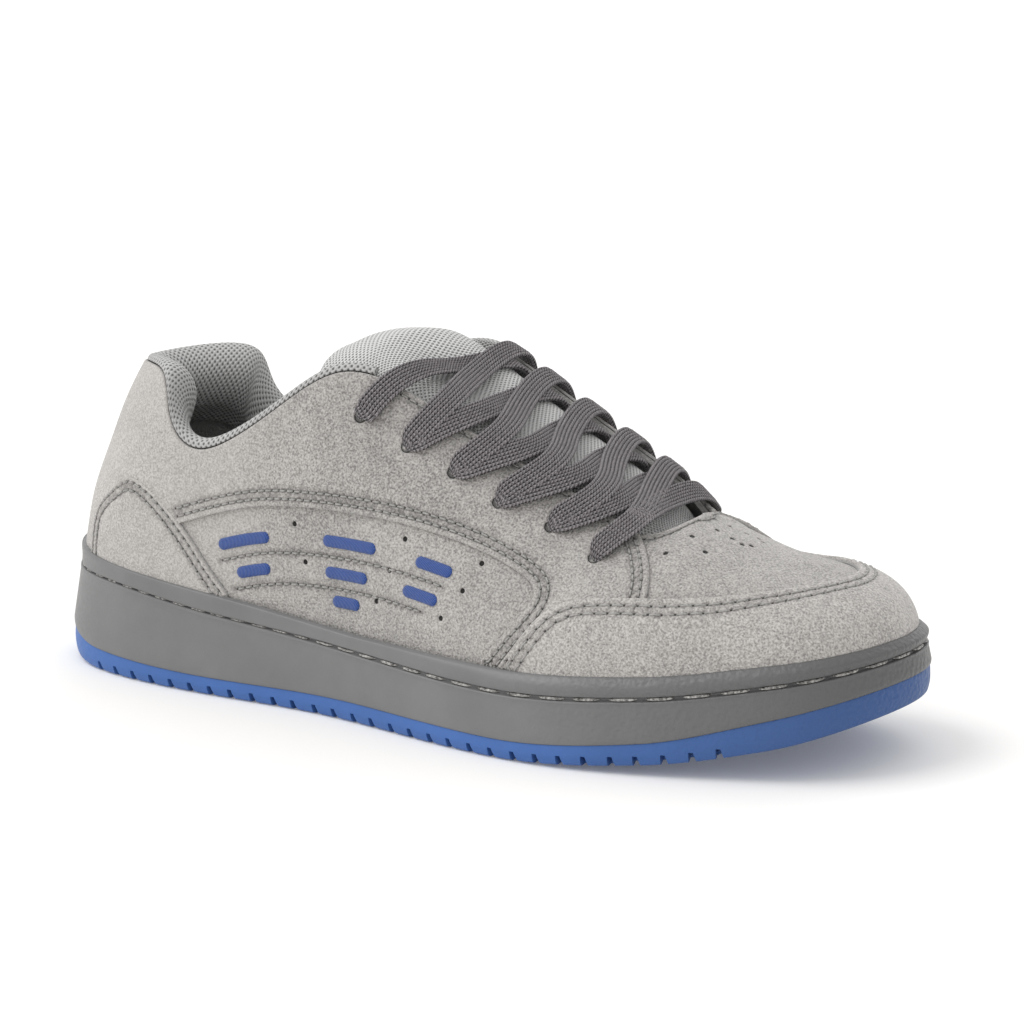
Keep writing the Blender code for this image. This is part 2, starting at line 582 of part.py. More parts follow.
# Panels cut from larger forms
guard = sheet_solid("toe_guard", form_sheet(PANEL_FACE, PANEL_LIFT), GUARD_WALL, SUEDE)
boolean(guard, "INTERSECT", prism("guard_view", guard_outline))
for name, low, high in (("heel_fin_lateral", -REACH, -MIDDLE), ("heel_fin_medial", MIDDLE, REACH)):
    fin = sheet_solid(name, form_sheet(PANEL_FACE, PANEL_LIFT), GUARD_WALL, SUEDE)
    boolean(fin, "INTERSECT", prism(name + "_view", fin_outline, 0.0, low, high))
quarter = sheet_solid("quarter", form_sheet(PANEL_FACE, PANEL_LIFT), QUARTER_WALL, SUEDE)
boolean(quarter, "INTERSECT", prism("quarter_view", quarter_outline, EYESTAY_SKEW))
boolean(quarter, "DIFFERENCE", prism("window_view", window_outline))
boolean(quarter, "DIFFERENCE", prism("guard_clear", grown(guard_outline, GAP)))
boolean(quarter, "DIFFERENCE", prism("fin_clear", grown(fin_outline, GAP)))
boolean(quarter, "DIFFERENCE", hole_cutter)


# Collar roll
def lining_section(k, side):
    """The roll's section at one rib: each point down the wall from the edge and in from the form."""
    (top,), (n,) = form([k], [1.0], side)
    (low,), _ = form([k], [BELOW_TOP], side)
    up = (top - low) / np.linalg.norm(top - low)
    a, _, _, d = ribs([k], side)
    size = np.linalg.norm(d - a)
    full = LINING_THIN + (1 - LINING_THIN) * np.clip((k - LINING_START) / LINING_RUN, 0, 1)
    full += (LINING_HEEL - 1) * np.clip((k - HEEL_FROM) / HEEL_RUN, 0, 1)
    section = []
    for down, inwards in LINING:
        inwards = min(inwards, LINING_BACK) + max(inwards - LINING_BACK, 0.0) * full
        if down > 0:
            (p,), _ = form([k], [1 - down / (size * RIB_BOW)], side, -inwards)
            section.append(p)
        else:
            section.append(top - up * down - n * inwards)
    return section


stations = [(k, LATERAL) for k in STEPS if k > LINING_START]
stations += [(k, MEDIAL) for k, _ in stations[-2::-1]]
lining_points = np.array([lining_section(k, side) for k, side in stations])
count = len(LINING)
lining_faces = loop_faces(len(stations), count)
lining_faces += [tuple(range(count)), tuple(range((len(stations) - 1) * count, len(stations) * count))]
lining = solid("collar_lining", lining_points.reshape(-1, 3), lining_faces, MESH_CLOTH)


def saddle(k, w, lateral, medial, crest):
    """The arch over the throat at a rib position: from lace hole to lace hole, w from 0 to 1 across.

    lateral and medial are offsets from the form at the holes and edges, crest one at the middle.
    """
    heights = np.array(EYELETS)[:, (1, 3)].mean(axis=0)
    outer = form([k] * 2, [heights[0], 1.0], LATERAL, lateral)[0]
    inner = form([k] * 2, [1.0, heights[1]], MEDIAL, medial)[0]
    edges = form([k], [1.0], LATERAL)[0] + form([k], [1.0], MEDIAL)[0]
    middle = 0.5 * edges + (0, 0, THROAT_RISE + crest)
    return spline(w, ACROSS, np.vstack([outer, middle, inner]))


# Tongue
rings = []
for _, k, drop, thick, dx, dz, outer_tuck, inner_tuck in TONGUE:
    w = np.array(TONGUE_ACROSS)
    face = saddle(k, w, outer_tuck, inner_tuck, LACE_LIFT - LACE_THICK / 2 - drop) + (dx, 0, dz)
    along = np.gradient(face, axis=0)
    inwards = np.cross(along, (1.0, 0, 0))
    inwards *= np.where(inwards[:, 2:] > 0, -1, 1) / np.linalg.norm(inwards, axis=1)[:, None]
    taper = np.clip(1 - (2 * np.abs(w - 0.5)) ** 3, TONGUE_THIN, 1)[:, None]
    back = face + inwards * thick * taper
    rings.append(np.vstack([face, back[::-1]]))
count = 2 * len(TONGUE_ACROSS)
tongue_faces = loop_faces(len(rings), count)
for first in (0, (len(rings) - 1) * count):
    tongue_faces += [(first + j, first + j + 1, first + count - 2 - j, first + count - 1 - j)
                     for j in range(len(TONGUE_ACROSS) - 1)]
tongue = solid("tongue", np.concatenate(rings), tongue_faces, MESH_CLOTH)


# Laces: lower straps run from each lateral hole to its partner, upper ones from the next hole down
def strap_line(lateral, medial, under, w):
    """Middle line of a strap, and the same line a little further back."""
    start, end = EYELETS[lateral][0], EYELETS[medial][2]
    swing = LOWER_SWING if under else UPPER_SWING
    over_edges = (start + swing[0], end + swing[1])
    k = spline(w, ACROSS, (start, over_edges[0], np.mean(over_edges), over_edges[1], end))
    outer = LACE_LIFT + (0 if under else LACE_STEP * np.sin(np.pi * w) ** 0.5)
    inner, crest = (LOWER_TUCK, LACE_LIFT) if under else (LACE_LIFT, LACE_LIFT + LACE_STEP)
    lines = [[saddle(a + back, [v], o, inner, crest)[0] for a, v, o in zip(k, w, outer + 0 * w)]
             for back in (0.0, LACE_ASIDE)]
    return np.array(lines)


def strap_solid(name, lateral, medial, under, helper):
    w = np.minimum(LACE_STEPS, LOWER_END)[:-2] if under else np.array(LACE_STEPS)
    centre, aside = strap_line(lateral, medial, under, w)
    tangent = np.gradient(centre, axis=0)
    tangent /= np.linalg.norm(tangent, axis=1)[:, None]
    out = np.cross(tangent, aside - centre)
    out *= np.where(out[:, 2:] < 0, -1, 1) / np.linalg.norm(out, axis=1)[:, None]
    wide = np.cross(out, tangent) * LACE_WIDTH / 2
    thick = out * LACE_THICK / 2
    corners = ((-1, -1), (1, -1), (1, 1), (-1, 1))
    ring = np.stack([centre + a * wide + b * thick for a, b in corners], axis=1)
    faces = loop_faces(len(w), 4) + [(0, 1, 2, 3), tuple(range(4 * len(w) - 4, 4 * len(w)))]
    return solid(name, ring.reshape(-1, 3), faces, LACE_WEAVE, helper)


last = len(EYELETS) - 1
upper_straps = [(i + 1, i) for i in range(last)] + [(last, last)]
laces = strap_solid("laces", *upper_straps[0], under=False, helper=False)
for lateral, medial in upper_straps[1:]:
    boolean(laces, "UNION", strap_solid(f"strap_{lateral}_{medial}", lateral, medial, False, True))
for i in range(last):
    boolean(laces, "UNION", strap_solid(f"under_strap_{i}", i, i, True, True))
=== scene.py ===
"""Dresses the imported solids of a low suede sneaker: panels, stitches, padding, laces and rubber.

+X points to the toe, +Y to the inner (medial) side, +Z up. Lengths in the tables are millimetres.
Every soft piece lies on one form, the last: ribs that rise from the feather line, where the upper meets
the sole, to the top line. A place on the form is a walk position u, which counts ribs from the toe along
the outer side to the heel and back along the inner side, and a height t, 0 at the feather line, 1 on top.
"""

import bpy
import numpy as np
from bpy.props import FloatProperty, FloatVectorProperty, PointerProperty
from bpy.types import Operator, Panel, PropertyGroup
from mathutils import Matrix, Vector
from mathutils.geometry import delaunay_2d_cdt
from mathutils.kdtree import KDTree


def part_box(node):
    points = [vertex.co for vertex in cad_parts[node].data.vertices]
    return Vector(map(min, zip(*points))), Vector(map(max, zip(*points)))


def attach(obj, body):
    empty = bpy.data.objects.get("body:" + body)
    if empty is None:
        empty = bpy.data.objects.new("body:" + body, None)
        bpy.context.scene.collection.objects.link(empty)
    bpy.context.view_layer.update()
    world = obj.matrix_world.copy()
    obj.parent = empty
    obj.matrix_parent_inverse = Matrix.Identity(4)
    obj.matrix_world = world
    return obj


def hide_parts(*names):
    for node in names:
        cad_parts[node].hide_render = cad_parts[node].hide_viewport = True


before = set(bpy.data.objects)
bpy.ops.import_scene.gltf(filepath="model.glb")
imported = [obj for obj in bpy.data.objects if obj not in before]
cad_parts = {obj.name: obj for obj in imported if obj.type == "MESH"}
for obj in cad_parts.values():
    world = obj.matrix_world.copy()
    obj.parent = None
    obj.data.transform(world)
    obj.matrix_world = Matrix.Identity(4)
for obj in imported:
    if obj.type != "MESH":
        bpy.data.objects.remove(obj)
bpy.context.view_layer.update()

bl_info = {
    "name": "Suede sneaker",
    "version": (1, 0, 0),
    "blender": (4, 5, 0),
    "location": "View3D > Sidebar > Sneaker",
    "description": "Builds the finished pieces of a suede sneaker on its packed frame",
    "category": "Object",
}

MM = 0.001
LATERAL, MEDIAL = SIDES = -1, 1
LENGTH = round((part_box("cupsole")[1].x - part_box("cupsole")[0].x) / MM, 1)
SIDE_SHIFT = 1.32     # the middle of the sole's box lies at Y = 0
TOE_SHIFT = 6.5       # the toe tip lies a little to the inner side
GAP = 0.3

# Sole outline from above: name, distance from the heel as a part of the length, half widths
OUTLINE = (
    ("toe_corner", 0.955, 27.0, 37.0),
    ("toe_side", 0.870, 41.5, 46.0),
    ("tread", 0.740, 53.5, 53.0),
    ("ball", 0.630, 56.0, 52.0),
    ("waist_front", 0.500, 49.5, 44.0),
    ("waist", 0.380, 42.5, 39.5),
    ("heel_front", 0.250, 41.5, 40.0),
    ("heel", 0.120, 37.5, 38.5),
    ("heel_corner", 0.035, 25.0, 26.0),
)

# Heights of the sole: along, ground, seam of outsole and cup, stitch groove, lip, floor, lean of the wall
SOLE = (
    (0.00, 2.0, 13.4, 31.6, 39.4, 22.0, 2.6),
    (0.08, 0.0, 7.7, 31.1, 37.2, 21.5, 2.5),
    (0.25, 0.0, 6.2, 26.6, 32.8, 20.0, 2.0),
    (0.45, 0.0, 6.8, 22.3, 27.6, 17.0, 1.4),
    (0.62, 0.0, 6.5, 21.0, 27.6, 15.0, 1.0),
    (0.78, 3.0, 10.3, 23.7, 30.2, 18.0, 1.0),
    (0.90, 9.6, 19.2, 29.3, 35.6, 25.0, 1.0),
    (1.00, 19.0, 28.0, 35.3, 40.4, 31.5, 1.0),
)
GROUND, SEAM, GROOVE, LIP, FLOOR, LEAN = range(1, 7)

# Ribs of the last: name, foot along, top along, top y, top z, lean, pitch, belly, crown
LATERAL_RIBS = (
    ("toe_tip", 1.000, 0.888, 7.0, 58.6, -14, 14, 0.36, 0.44),
    ("toe_corner", 0.965, 0.880, 7.0, 59.0, -8, 11, 0.36, 0.44),
    ("toe_side", 0.912, 0.856, 6.0, 60.2, -2, 6, 0.36, 0.46),
    ("vamp", 0.858, 0.818, 5.0, 63.2, 1, 1, 0.36, 0.46),
    ("throat", 0.800, 0.758, 4.0, 70.4, 2, 3, 0.36, 0.46),
    ("throat_corner", 0.722, 0.732, -16.6, 67.2, 3, 26, 0.36, 0.40),
    ("lace_low", 0.630, 0.675, -18.0, 73.0, 2, 40, 0.36, 0.38),
    ("lace_mid", 0.540, 0.570, -19.5, 86.5, 1, 46, 0.36, 0.38),
    ("lace_top", 0.450, 0.460, -21.5, 102.2, 0, 54, 0.36, 0.38),
    ("collar_peak", 0.390, 0.385, -26.5, 107.4, 0, 66, 0.36, 0.36),
    ("collar_front", 0.310, 0.314, -30.5, 94.6, 0, 76, 0.36, 0.36),
    ("collar_dip", 0.225, 0.225, -32.0, 78.4, 0, 82, 0.36, 0.36),
    ("collar_back", 0.150, 0.177, -30.5, 86.6, -1, 80, 0.36, 0.36),
    ("heel_wing", 0.075, 0.152, -24.5, 100.6, -4, 67, 0.38, 0.40),
    ("heel_back", 0.000, 0.086, 0.0, 98.4, -13, 58, 0.36, 0.40),
)
MEDIAL_RIBS = (
    ("toe_tip", 1.000, 0.888, 7.0, 58.6, -14, 14, 0.36, 0.44),
    ("toe_corner", 0.965, 0.880, 7.0, 59.0, -8, 11, 0.36, 0.44),
    ("toe_side", 0.905, 0.856, 6.0, 60.2, -2, 7, 0.36, 0.46),
    ("vamp", 0.850, 0.818, 5.0, 63.2, 1, 9, 0.36, 0.40),
    ("throat", 0.795, 0.758, 4.0, 70.4, 2, 12, 0.36, 0.38),
    ("throat_corner", 0.730, 0.738, 20.5, 66.8, 3, 26, 0.36, 0.40),
    ("lace_low", 0.650, 0.700, 23.5, 74.0, 2, 42, 0.36, 0.38),
    ("lace_mid", 0.565, 0.605, 25.0, 89.0, 1, 50, 0.36, 0.38),
    ("lace_top", 0.475, 0.510, 26.0, 104.2, 0, 60, 0.36, 0.38),
    ("collar_peak", 0.400, 0.440, 28.0, 108.4, 0, 68, 0.36, 0.36),
    ("collar_front", 0.315, 0.340, 30.5, 95.0, 0, 76, 0.36, 0.36),
    ("collar_dip", 0.225, 0.235, 32.0, 77.6, 0, 82, 0.36, 0.36),
    ("collar_back", 0.150, 0.177, 30.5, 85.4, -1, 80, 0.36, 0.36),
    ("heel_wing", 0.075, 0.148, 24.5, 98.6, -4, 67, 0.38, 0.40),
    ("heel_back", 0.000, 0.086, 0.0, 98.4, -13, 58, 0.36, 0.40),
)
RIDGE_END = 4         # ribs up to this one close over the vamp
HEEL = len(LATERAL_RIBS) - 1
ROUND = 2 * HEEL      # a whole walk round the form
NORMAL_TOP = 0.95     # above this height the normals are those of the place just below

# Layers, measured out from the form
FEATHER = -4.8
UPPER_FACE = -1.0
UPPER_WALL = 1.8
PANEL_FACE = UPPER_FACE + 0.15
QUARTER_WALL = 1.15
GUARD_WALL = 1.75
PANEL_FOOT = -0.02    # panels start this far down, behind the lip
UPPER_FOOT = -0.13    # the upper's wall goes down into the cup

# Side views of the panel edges, x and z
GUARD_EDGE = (
    (34.0, 24.0), (36.6, 27.8), (40.8, 33.5), (46.4, 41.5), (50.1, 45.6), (54.5, 48.4), (60.0, 50.0),
    (68.0, 51.1), (82.0, 52.3), (96.0, 53.0), (105.0, 53.7), (116.5, 55.0), (124.5, 55.5), (130.0, 55.7),
    (150.0, 56.2),
)
GUARD_TURN = 60.0     # behind this x the guard's edge drops to the sole
FIN_EDGE = (
    (-63.5, 24.0), (-71.3, 33.0), (-77.8, 39.8), (-86.4, 49.4), (-96.8, 58.6), (-104.6, 63.5),
    (-112.8, 65.4), (-120.6, 61.1), (-128.4, 53.5), (-131.4, 43.0), (-131.8, 24.0),
)
WINDOW_EDGE = (
    (26.0, 24.0), (35.1, 34.9), (41.0, 42.4), (44.2, 47.6), (43.8, 51.2), (35.9, 55.6),
    (15.5, 61.7), (-13.4, 65.4), (-43.8, 65.0), (-67.0, 61.6), (-94.0, 52.6),
)
EYESTAY_FRONT = (
    (62.5, 69.6), (65.6, 67.4), (69.9, 64.5), (72.8, 62.9), (76.7, 60.4), (79.8, 57.4), (82.0, 52.8),
    (82.6, 47.0),
)
EYESTAY_SKEW = 0.13   # the inner side's front edge lies further forward, per mm across
SKEW_FROM = -25.0

# Stitch rows, in from the edge of their panel; those of the field lie below the arch of the window
ARCH_SEAMS, FRONT_SEAMS, THROAT_SEAMS = (2.3, 4.9), (2.3, 5.0), (2.0,)
GUARD_SEAMS, FIN_SEAMS = (2.6, 5.2), (1.5, 4.0)
FIELD_SEAMS = (15.0, 25.0)
FIELD_REAR, FIELD_FRONT = -82.0, 22.0    # x between which a field row at the arch itself would run
ROW_STEP = 0.9

# Lace holes from the top down: rib and height on the outer side, rib and height on the inner side
EYELETS = (
    (8.57, 0.84, 8.00, 0.86),
    (7.84, 0.81, 7.46, 0.84),
    (7.32, 0.81, 6.97, 0.83),
    (6.83, 0.79, 6.52, 0.82),
    (6.27, 0.80, 6.04, 0.81),
    (5.54, 0.755, 5.40, 0.80),
)

# Perforations: rib and height
VAMP_HOLES = (
    (4.34, 0.72), (3.64, 0.715), (3.94, 0.79), (3.65, 0.935), (3.37, 0.92), (3.17, 0.905), (3.02, 0.935),
)
SIDE_HOLES = (
    (9.60, 0.400), (9.43, 0.232), (7.63, 0.448), (7.80, 0.290), (8.00, 0.145), (6.70, 0.495), (6.80, 0.330),
    (7.02, 0.165),
)

# Soft troughs and ridges of the upper: name, start and end on the form's face, depth, width
CREASES = (
    ("vamp_flex", (86.0, -44.0, 42.0), (84.0, 2.0, 64.0), -0.55, 5.5),
    ("vamp_flex_ridge", (95.0, -42.0, 44.0), (94.0, 4.0, 63.0), 0.40, 5.0),
    ("vamp_flex_inner", (88.0, 46.0, 44.0), (84.0, 12.0, 64.0), -0.50, 5.5),
    ("toe_dent", (118.0, -22.0, 55.0), (121.0, 20.0, 57.0), -0.35, 7.0),
    ("eyestay_pull", (40.0, -42.0, 58.0), (58.0, -34.0, 62.0), -0.35, 6.0),
    ("quarter_swell", (-40.0, -38.0, 74.0), (8.0, -36.0, 80.0), 0.55, 12.0),
    ("ankle_dent", (-62.0, -36.0, 66.0), (-52.0, -34.0, 84.0), -0.60, 8.0),
    ("ankle_dent_inner", (-62.0, 37.0, 66.0), (-50.0, 35.0, 86.0), -0.60, 8.0),
    ("heel_hollow", (-128.0, -16.0, 72.0), (-130.0, 14.0, 72.0), -0.45, 10.0),
    ("heel_swell", (-137.0, -18.0, 54.0), (-138.0, 16.0, 54.0), 0.50, 12.0),
)

LACE_LIFT = 2.0       # middle of the lower layer above the form
LACE_STEP = 1.2       # from the lower layer of laces to the upper one
LACE_RIBS = 7
LACE_HALF = 0.75      # half of a strap's thickness
LACE_NARROW, LACE_OPENING = 7.0, 6.5     # run inside a hole, and run until the strap is flat
YARN_RISE = 0.28
LACE_DIVE = ((-7.0, 4.0), (-4.0, 0.8), (-0.8, 0.0), (1.0, 0.9))  # a strap's end: out of the form, along
THROAT_RISE = 1.0     # the arch over the throat rises this far over its two edges
ACROSS = (0.0, 0.15, 0.5, 0.85, 1.0)  # hole, throat edge, middle, throat edge, hole
UPPER_SWING = (-0.18, 0.14)  # ribs that a strap swings by the time it crosses the throat's edges
LOWER_SWING = (-0.36, 0.0)
LOWER_TUCK = -4.5     # the lower straps run under the inner edge of the throat

# Tongue sections: rib, drop of its face under the laces, thickness, shift in x and z, edges in from form
TONGUE = (
    ("tip", 4.75, 3.6, 2.0, 12.0, -9.0, -8.0, -8.0),
    ("under_vamp", 4.75, 2.6, 2.6, 4.0, -6.4, -6.6, -6.6),
    ("throat", 5.1, 2.4, 4.0, -1.0, -2.0, -4.6, -4.6),
    ("low", 5.7, 2.4, 6.0, 0.0, 0.0, -3.6, -5.6),
    ("mid_low", 6.4, 2.4, 7.0, 0.0, 0.0, -3.6, -7.1),
    ("mid", 7.1, 2.4, 7.5, 0.0, 0.0, -3.6, -7.1),
    ("high", 7.8, 2.4, 8.0, 0.0, 0.0, -4.0, -7.1),
    ("neck", 8.3, 2.0, 9.0, 0.0, 0.0, -5.0, -7.1),
    ("swell", 8.6, -2.4, 10.0, 0.0, 0.0, -6.2, -7.1),
    ("crown", 8.85, -6.8, 10.0, -1.0, 0.0, -7.4, -7.4),
    ("top", 9.05, -7.0, 8.0, -4.0, 0.0, -8.0, -8.0),
    ("edge", 9.15, -4.4, 4.5, -8.0, 0.0, -8.5, -8.5),
)
TONGUE_ROLL = 2.2     # the top edge rolls over this far
TONGUE_EDGE = 0.04    # its sides stop this far from the lace holes, as a part of the arch over the throat

# Collar roll, a section across the top edge: down the wall from the edge, in from the form
LINING = (
    (-0.5, 0.9), (-1.9, 0.2), (-3.2, 1.4), (-3.6, 3.6), (-2.6, 6.4), (1.0, 9.2), (7.0, 10.4), (14.0, 9.4),
    (21.0, 6.6), (26.0, 4.2), (13.0, 3.6), (-0.5, 3.4),
)
LINING_START = 8.4
LINING_BACK = 3.4
LINING_THIN, LINING_RUN = 0.25, 2.4  # padding at the front ends, and ribs until it is full
LINING_HEEL = 1.5     # part of its padding at the heel
HEEL_FROM, HEEL_RUN = 11.4, 1.4  # rib where the heel padding begins, and ribs until it is full

INSOLE_THICK = 5.0
CUP_INNER = FEATHER + UPPER_FACE + GAP
INSOLE_EDGE = FEATHER + UPPER_FACE - UPPER_WALL - 0.4

NOTCH_FIRST, NOTCH_PITCH, NOTCH_COUNT = -124.0, 8.0, 30
NOTCH_HEIGHT, NOTCH_DEPTH, NOTCH_OUT = 3.4, 9.0, 3.0
# A notch from the side: along the sole and up, the foot below the ground
NOTCH_CORNERS = ((-1.08, -4.0), (2.88, -4.0), (0.54, NOTCH_HEIGHT), (-0.9, NOTCH_HEIGHT))

TREAD_DEPTH, TREAD_PITCH = 1.3, 9.0
TREAD_SWING, TREAD_TURN = 3.0, 9.0       # the zigzag's reach along the shoe, and its half wave across

# The stitched groove from below: out from the wall, so inwards is negative, and up from its middle line
GROOVE_SECTION = (
    (0.0, -1.5), (0.1, -1.05), (-0.25, -0.68), (-1.2, -0.52), (-1.6, 0.0), (-1.3, 0.5), (-0.7, 0.68),
    (-0.4, 1.0),
)
GROOVE_SHUT, SHUT_FROM, SHUT_RUN = 0.55, -10.0, 70.0  # it narrows by this part towards the heel
# The lip's bulge and the drop of its shoulder, at the heel and at the forefoot; x and run of the change
LIP_SECTIONS, LIP_FROM, LIP_RUN = ((-0.75, 0.6), (-0.1, 1.2)), -20.0, 80.0
LIP_SHOULDER = -1.5   # out from the wall
# Threads in the groove grow towards the toe: at the heel, what is added, from x, over a run
SOLE_PITCH = (1.2, 0.65, -110.0, 190.0)
SOLE_GIRTH = (0.26, 0.2, -70.0, 70.0)

# Shading angles in degrees, and distances at which doubled points merge
PANEL_ANGLE, CLOTH_ANGLE, TONGUE_ANGLE, RUBBER_ANGLE = 40.0, 60.0, 50.0, 35.0
FINE_WELD, GRID_WELD, SEAM_WELD = 0.0005, 0.002, 0.05

# Stage: the camera's place as degrees round, degrees up and metres, as fitted to the photo
CAMERA_ROUND, CAMERA_UP, CAMERA_AWAY = 30.6, 14.0, 1.4
CAMERA_TARGET = (0.0, 0.00132, 0.045)
LENS, SENSOR, LENS_SHIFT = 155.7, 36.0, (0.0314, 0.0491)
FLOOR_COLOUR, FLOOR_GLOW, SKY_LIGHT = (0.86, 0.85, 0.835, 1.0), 0.1, 0.84
WHITE = (1.0, 1.0, 1.0, 1.0)
# Lights: name, strength, softness in degrees, direction towards them
LIGHTS = (("key_light", 1.3, 40.0, (-0.5, -0.35, 0.8)), ("rim_light", 0.5, 60.0, (-0.2, 0.9, 0.6)))


def spline(x, knots, values):
    """Cubic spline with no bend at its ends."""
    knots, values, x = np.asarray(knots, float), np.asarray(values, float), np.asarray(x, float)
    n, h = len(knots), np.diff(knots)
    system, right = np.eye(n), np.zeros_like(values)
    for i in range(1, n - 1):
        system[i, i - 1:i + 2] = h[i - 1], 2 * (h[i - 1] + h[i]), h[i]
        right[i] = 6 * ((values[i + 1] - values[i]) / h[i] - (values[i] - values[i - 1]) / h[i - 1])
    bend = np.linalg.solve(system, right)
    k = np.clip(np.searchsorted(knots, x, side="right") - 1, 0, n - 2)
    shape = x.shape + (1,) * (values.ndim - 1)
    hk, a, b = h[k].reshape(shape), (knots[k + 1] - x).reshape(shape), (x - knots[k]).reshape(shape)
    low, high = values[k] / hk - bend[k] * hk / 6, values[k + 1] / hk - bend[k + 1] * hk / 6
    return (bend[k] * a**3 + bend[k + 1] * b**3) / (6 * hk) + low * a + high * b


def monotone(x, knots, values):
    """Cubic through the knots that never swings past them."""
    knots, values = np.asarray(knots, float), np.asarray(values, float)
    h = np.diff(knots)
    d = np.diff(values) / h
    m = np.concatenate([d[:1], np.zeros(len(knots) - 2), d[-1:]])
    for i in range(1, len(knots) - 1):
        if d[i - 1] * d[i] > 0:
            w1, w2 = 2 * h[i] + h[i - 1], h[i] + 2 * h[i - 1]
            m[i] = (w1 + w2) / (w1 / d[i - 1] + w2 / d[i])
    x = np.clip(x, knots[0], knots[-1])
    k = np.clip(np.searchsorted(knots, x, side="right") - 1, 0, len(knots) - 2)
    t = (x - knots[k]) / h[k]
    return (values[k] * (1 + 2 * t) * (1 - t) ** 2 + h[k] * m[k] * t * (1 - t) ** 2
            + values[k + 1] * t * t * (3 - 2 * t) + h[k] * m[k + 1] * t * t * (t - 1))


def lengths(points, power=1.0):
    """Distance covered along a line of points; a power below 1 evens long and short steps out."""
    return np.concatenate([[0], np.cumsum(np.linalg.norm(np.diff(points, axis=0), axis=1) ** power)])


def unit(vectors):
    return vectors / np.maximum(np.linalg.norm(vectors, axis=-1, keepdims=True), 1e-9)


def smooth_line(points, count):
    """A spline through given points, with count points at even distances."""
    points = np.asarray(points, float)
    steps = lengths(points, 0.5)
    dense = spline(np.linspace(0, steps[-1], 20 * len(points)), steps, points)
    run = lengths(dense)
    even = np.linspace(0, run[-1], count)
    return np.column_stack([np.interp(even, run, column) for column in dense.T])


def place(along):
    return LENGTH * (np.asarray(along) - 0.5)


def sole_outline(count=1440):
    """Dense closed outline from the toe tip round the outer side, and its outward normals."""
    lateral = [(place(along), -width) for _, along, width, _ in OUTLINE]
    medial = [(place(along), width) for _, along, _, width in OUTLINE]
    knots = np.array([(place(1.0), TOE_SHIFT)] + lateral + [(place(0.0), 0.0)] + medial[::-1])
    wrap = np.vstack([knots[-3:], knots, knots[:4]])
    steps = lengths(wrap, 0.5)
    points = spline(np.linspace(steps[3], steps[3 + len(knots)], count, endpoint=False), steps, wrap)
    along = unit(np.roll(points, -1, 0) - np.roll(points, 1, 0))
    return points, np.column_stack([-along[:, 1], along[:, 0]])


def half_outline(side):
    """One side from toe tip to heel: points, normals and the part of the arc covered."""
    points, normals = sole_outline()
    heel = int(np.argmin(points[:, 0]))
    pick = np.arange(heel + 1) if side == LATERAL else np.r_[0, np.arange(len(points) - 1, heel - 1, -1)]
    points, normals = points[pick], normals[pick]
    arc = lengths(points)
    return points, normals, arc / arc[-1]


HALVES = {side: half_outline(side) for side in SIDES}
RIBS = {side: np.array([row[1:] for row in rows]) for side, rows in (
    (LATERAL, LATERAL_RIBS), (MEDIAL, MEDIAL_RIBS))}


def sole_height(x, column):
    table = np.array(SOLE)
    return monotone(np.clip(np.asarray(x) / LENGTH + 0.5, 0, 1), table[:, 0], table[:, column])


def foot(k, side, offset):
    """Points of the outline under rib positions k, and the outward normals there."""
    points, normals, arc = HALVES[side]
    feet = np.interp(-RIBS[side][:, 0], -(points[:, 0] / LENGTH + 0.5), arc)
    part = np.clip(monotone(k, np.arange(HEEL + 1.0), feet), 0, 1)
    p = np.column_stack([np.interp(part, arc, points[:, i]) for i in (0, 1)])
    n = unit(np.column_stack([np.interp(part, arc, normals[:, i]) for i in (0, 1)]))
    return p + n * np.asarray(offset).reshape(-1, 1), n


def rib_values(k, side):
    """Table values between the ribs, smooth where the two sides meet at toe, throat and heel."""
    own, other = RIBS[side][:, 1:], RIBS[-side][:, 1:]
    knots = np.arange(-2.0, HEEL + 3)
    values = spline(k, knots, np.vstack([other[2:0:-1], own, other[-2:-4:-1]]))
    ridge = spline(k, knots[:RIDGE_END + 3], np.vstack([other[2:0:-1], own[:RIDGE_END + 1]])[:, :3])
    over_throat = np.vstack([other[RIDGE_END + 2:RIDGE_END:-1], own[RIDGE_END:], other[-2:-4:-1]])[:, :3]
    edge = spline(k, knots[RIDGE_END:], over_throat)
    values[:, :3] = np.where(np.asarray(k)[:, None] < RIDGE_END, ridge, edge)
    return values


def ribs(k, side):
    """Four control points of the rib curve at each rib position."""
    k = np.asarray(k, float)
    p, n = foot(k, side, FEATHER)
    top_along, top_y, top_z, lean, pitch, belly, crown = rib_values(k, side).T
    start = np.column_stack([p, sole_height(p[:, 0], LIP)])
    end = np.column_stack([place(top_along), top_y, top_z])
    lean, pitch = np.radians(lean)[:, None], np.radians(pitch)[:, None]
    rise = np.array([0.0, 0.0, 1.0])
    outwards = np.column_stack([n, np.zeros(len(n))])
    across = unit((end - start) * (1, 1, 0))
    size = np.linalg.norm(end - start, axis=1)[:, None]
    low = start + (rise * np.cos(lean) + outwards * np.sin(lean)) * size * belly[:, None]
    high = end - (across * np.cos(pitch) + rise * np.sin(pitch)) * size * crown[:, None]
    return start, low, high, end


def on_ribs(k, t, side):
    """Points of the form at matching rib positions and heights; below the feather line it drops straight."""
    a, b, c, d = ribs(k, side)
    t = np.asarray(t, float).reshape(-1, 1)
    s = np.maximum(t, 0)
    curve = a * (1 - s) ** 3 + 3 * b * s * (1 - s) ** 2 + 3 * c * s * s * (1 - s) + d * s**3
    drop = 3 * np.linalg.norm(b - a, axis=1)[:, None] * np.minimum(t, 0)
    return curve + drop * (0.0, 0.0, 1.0)


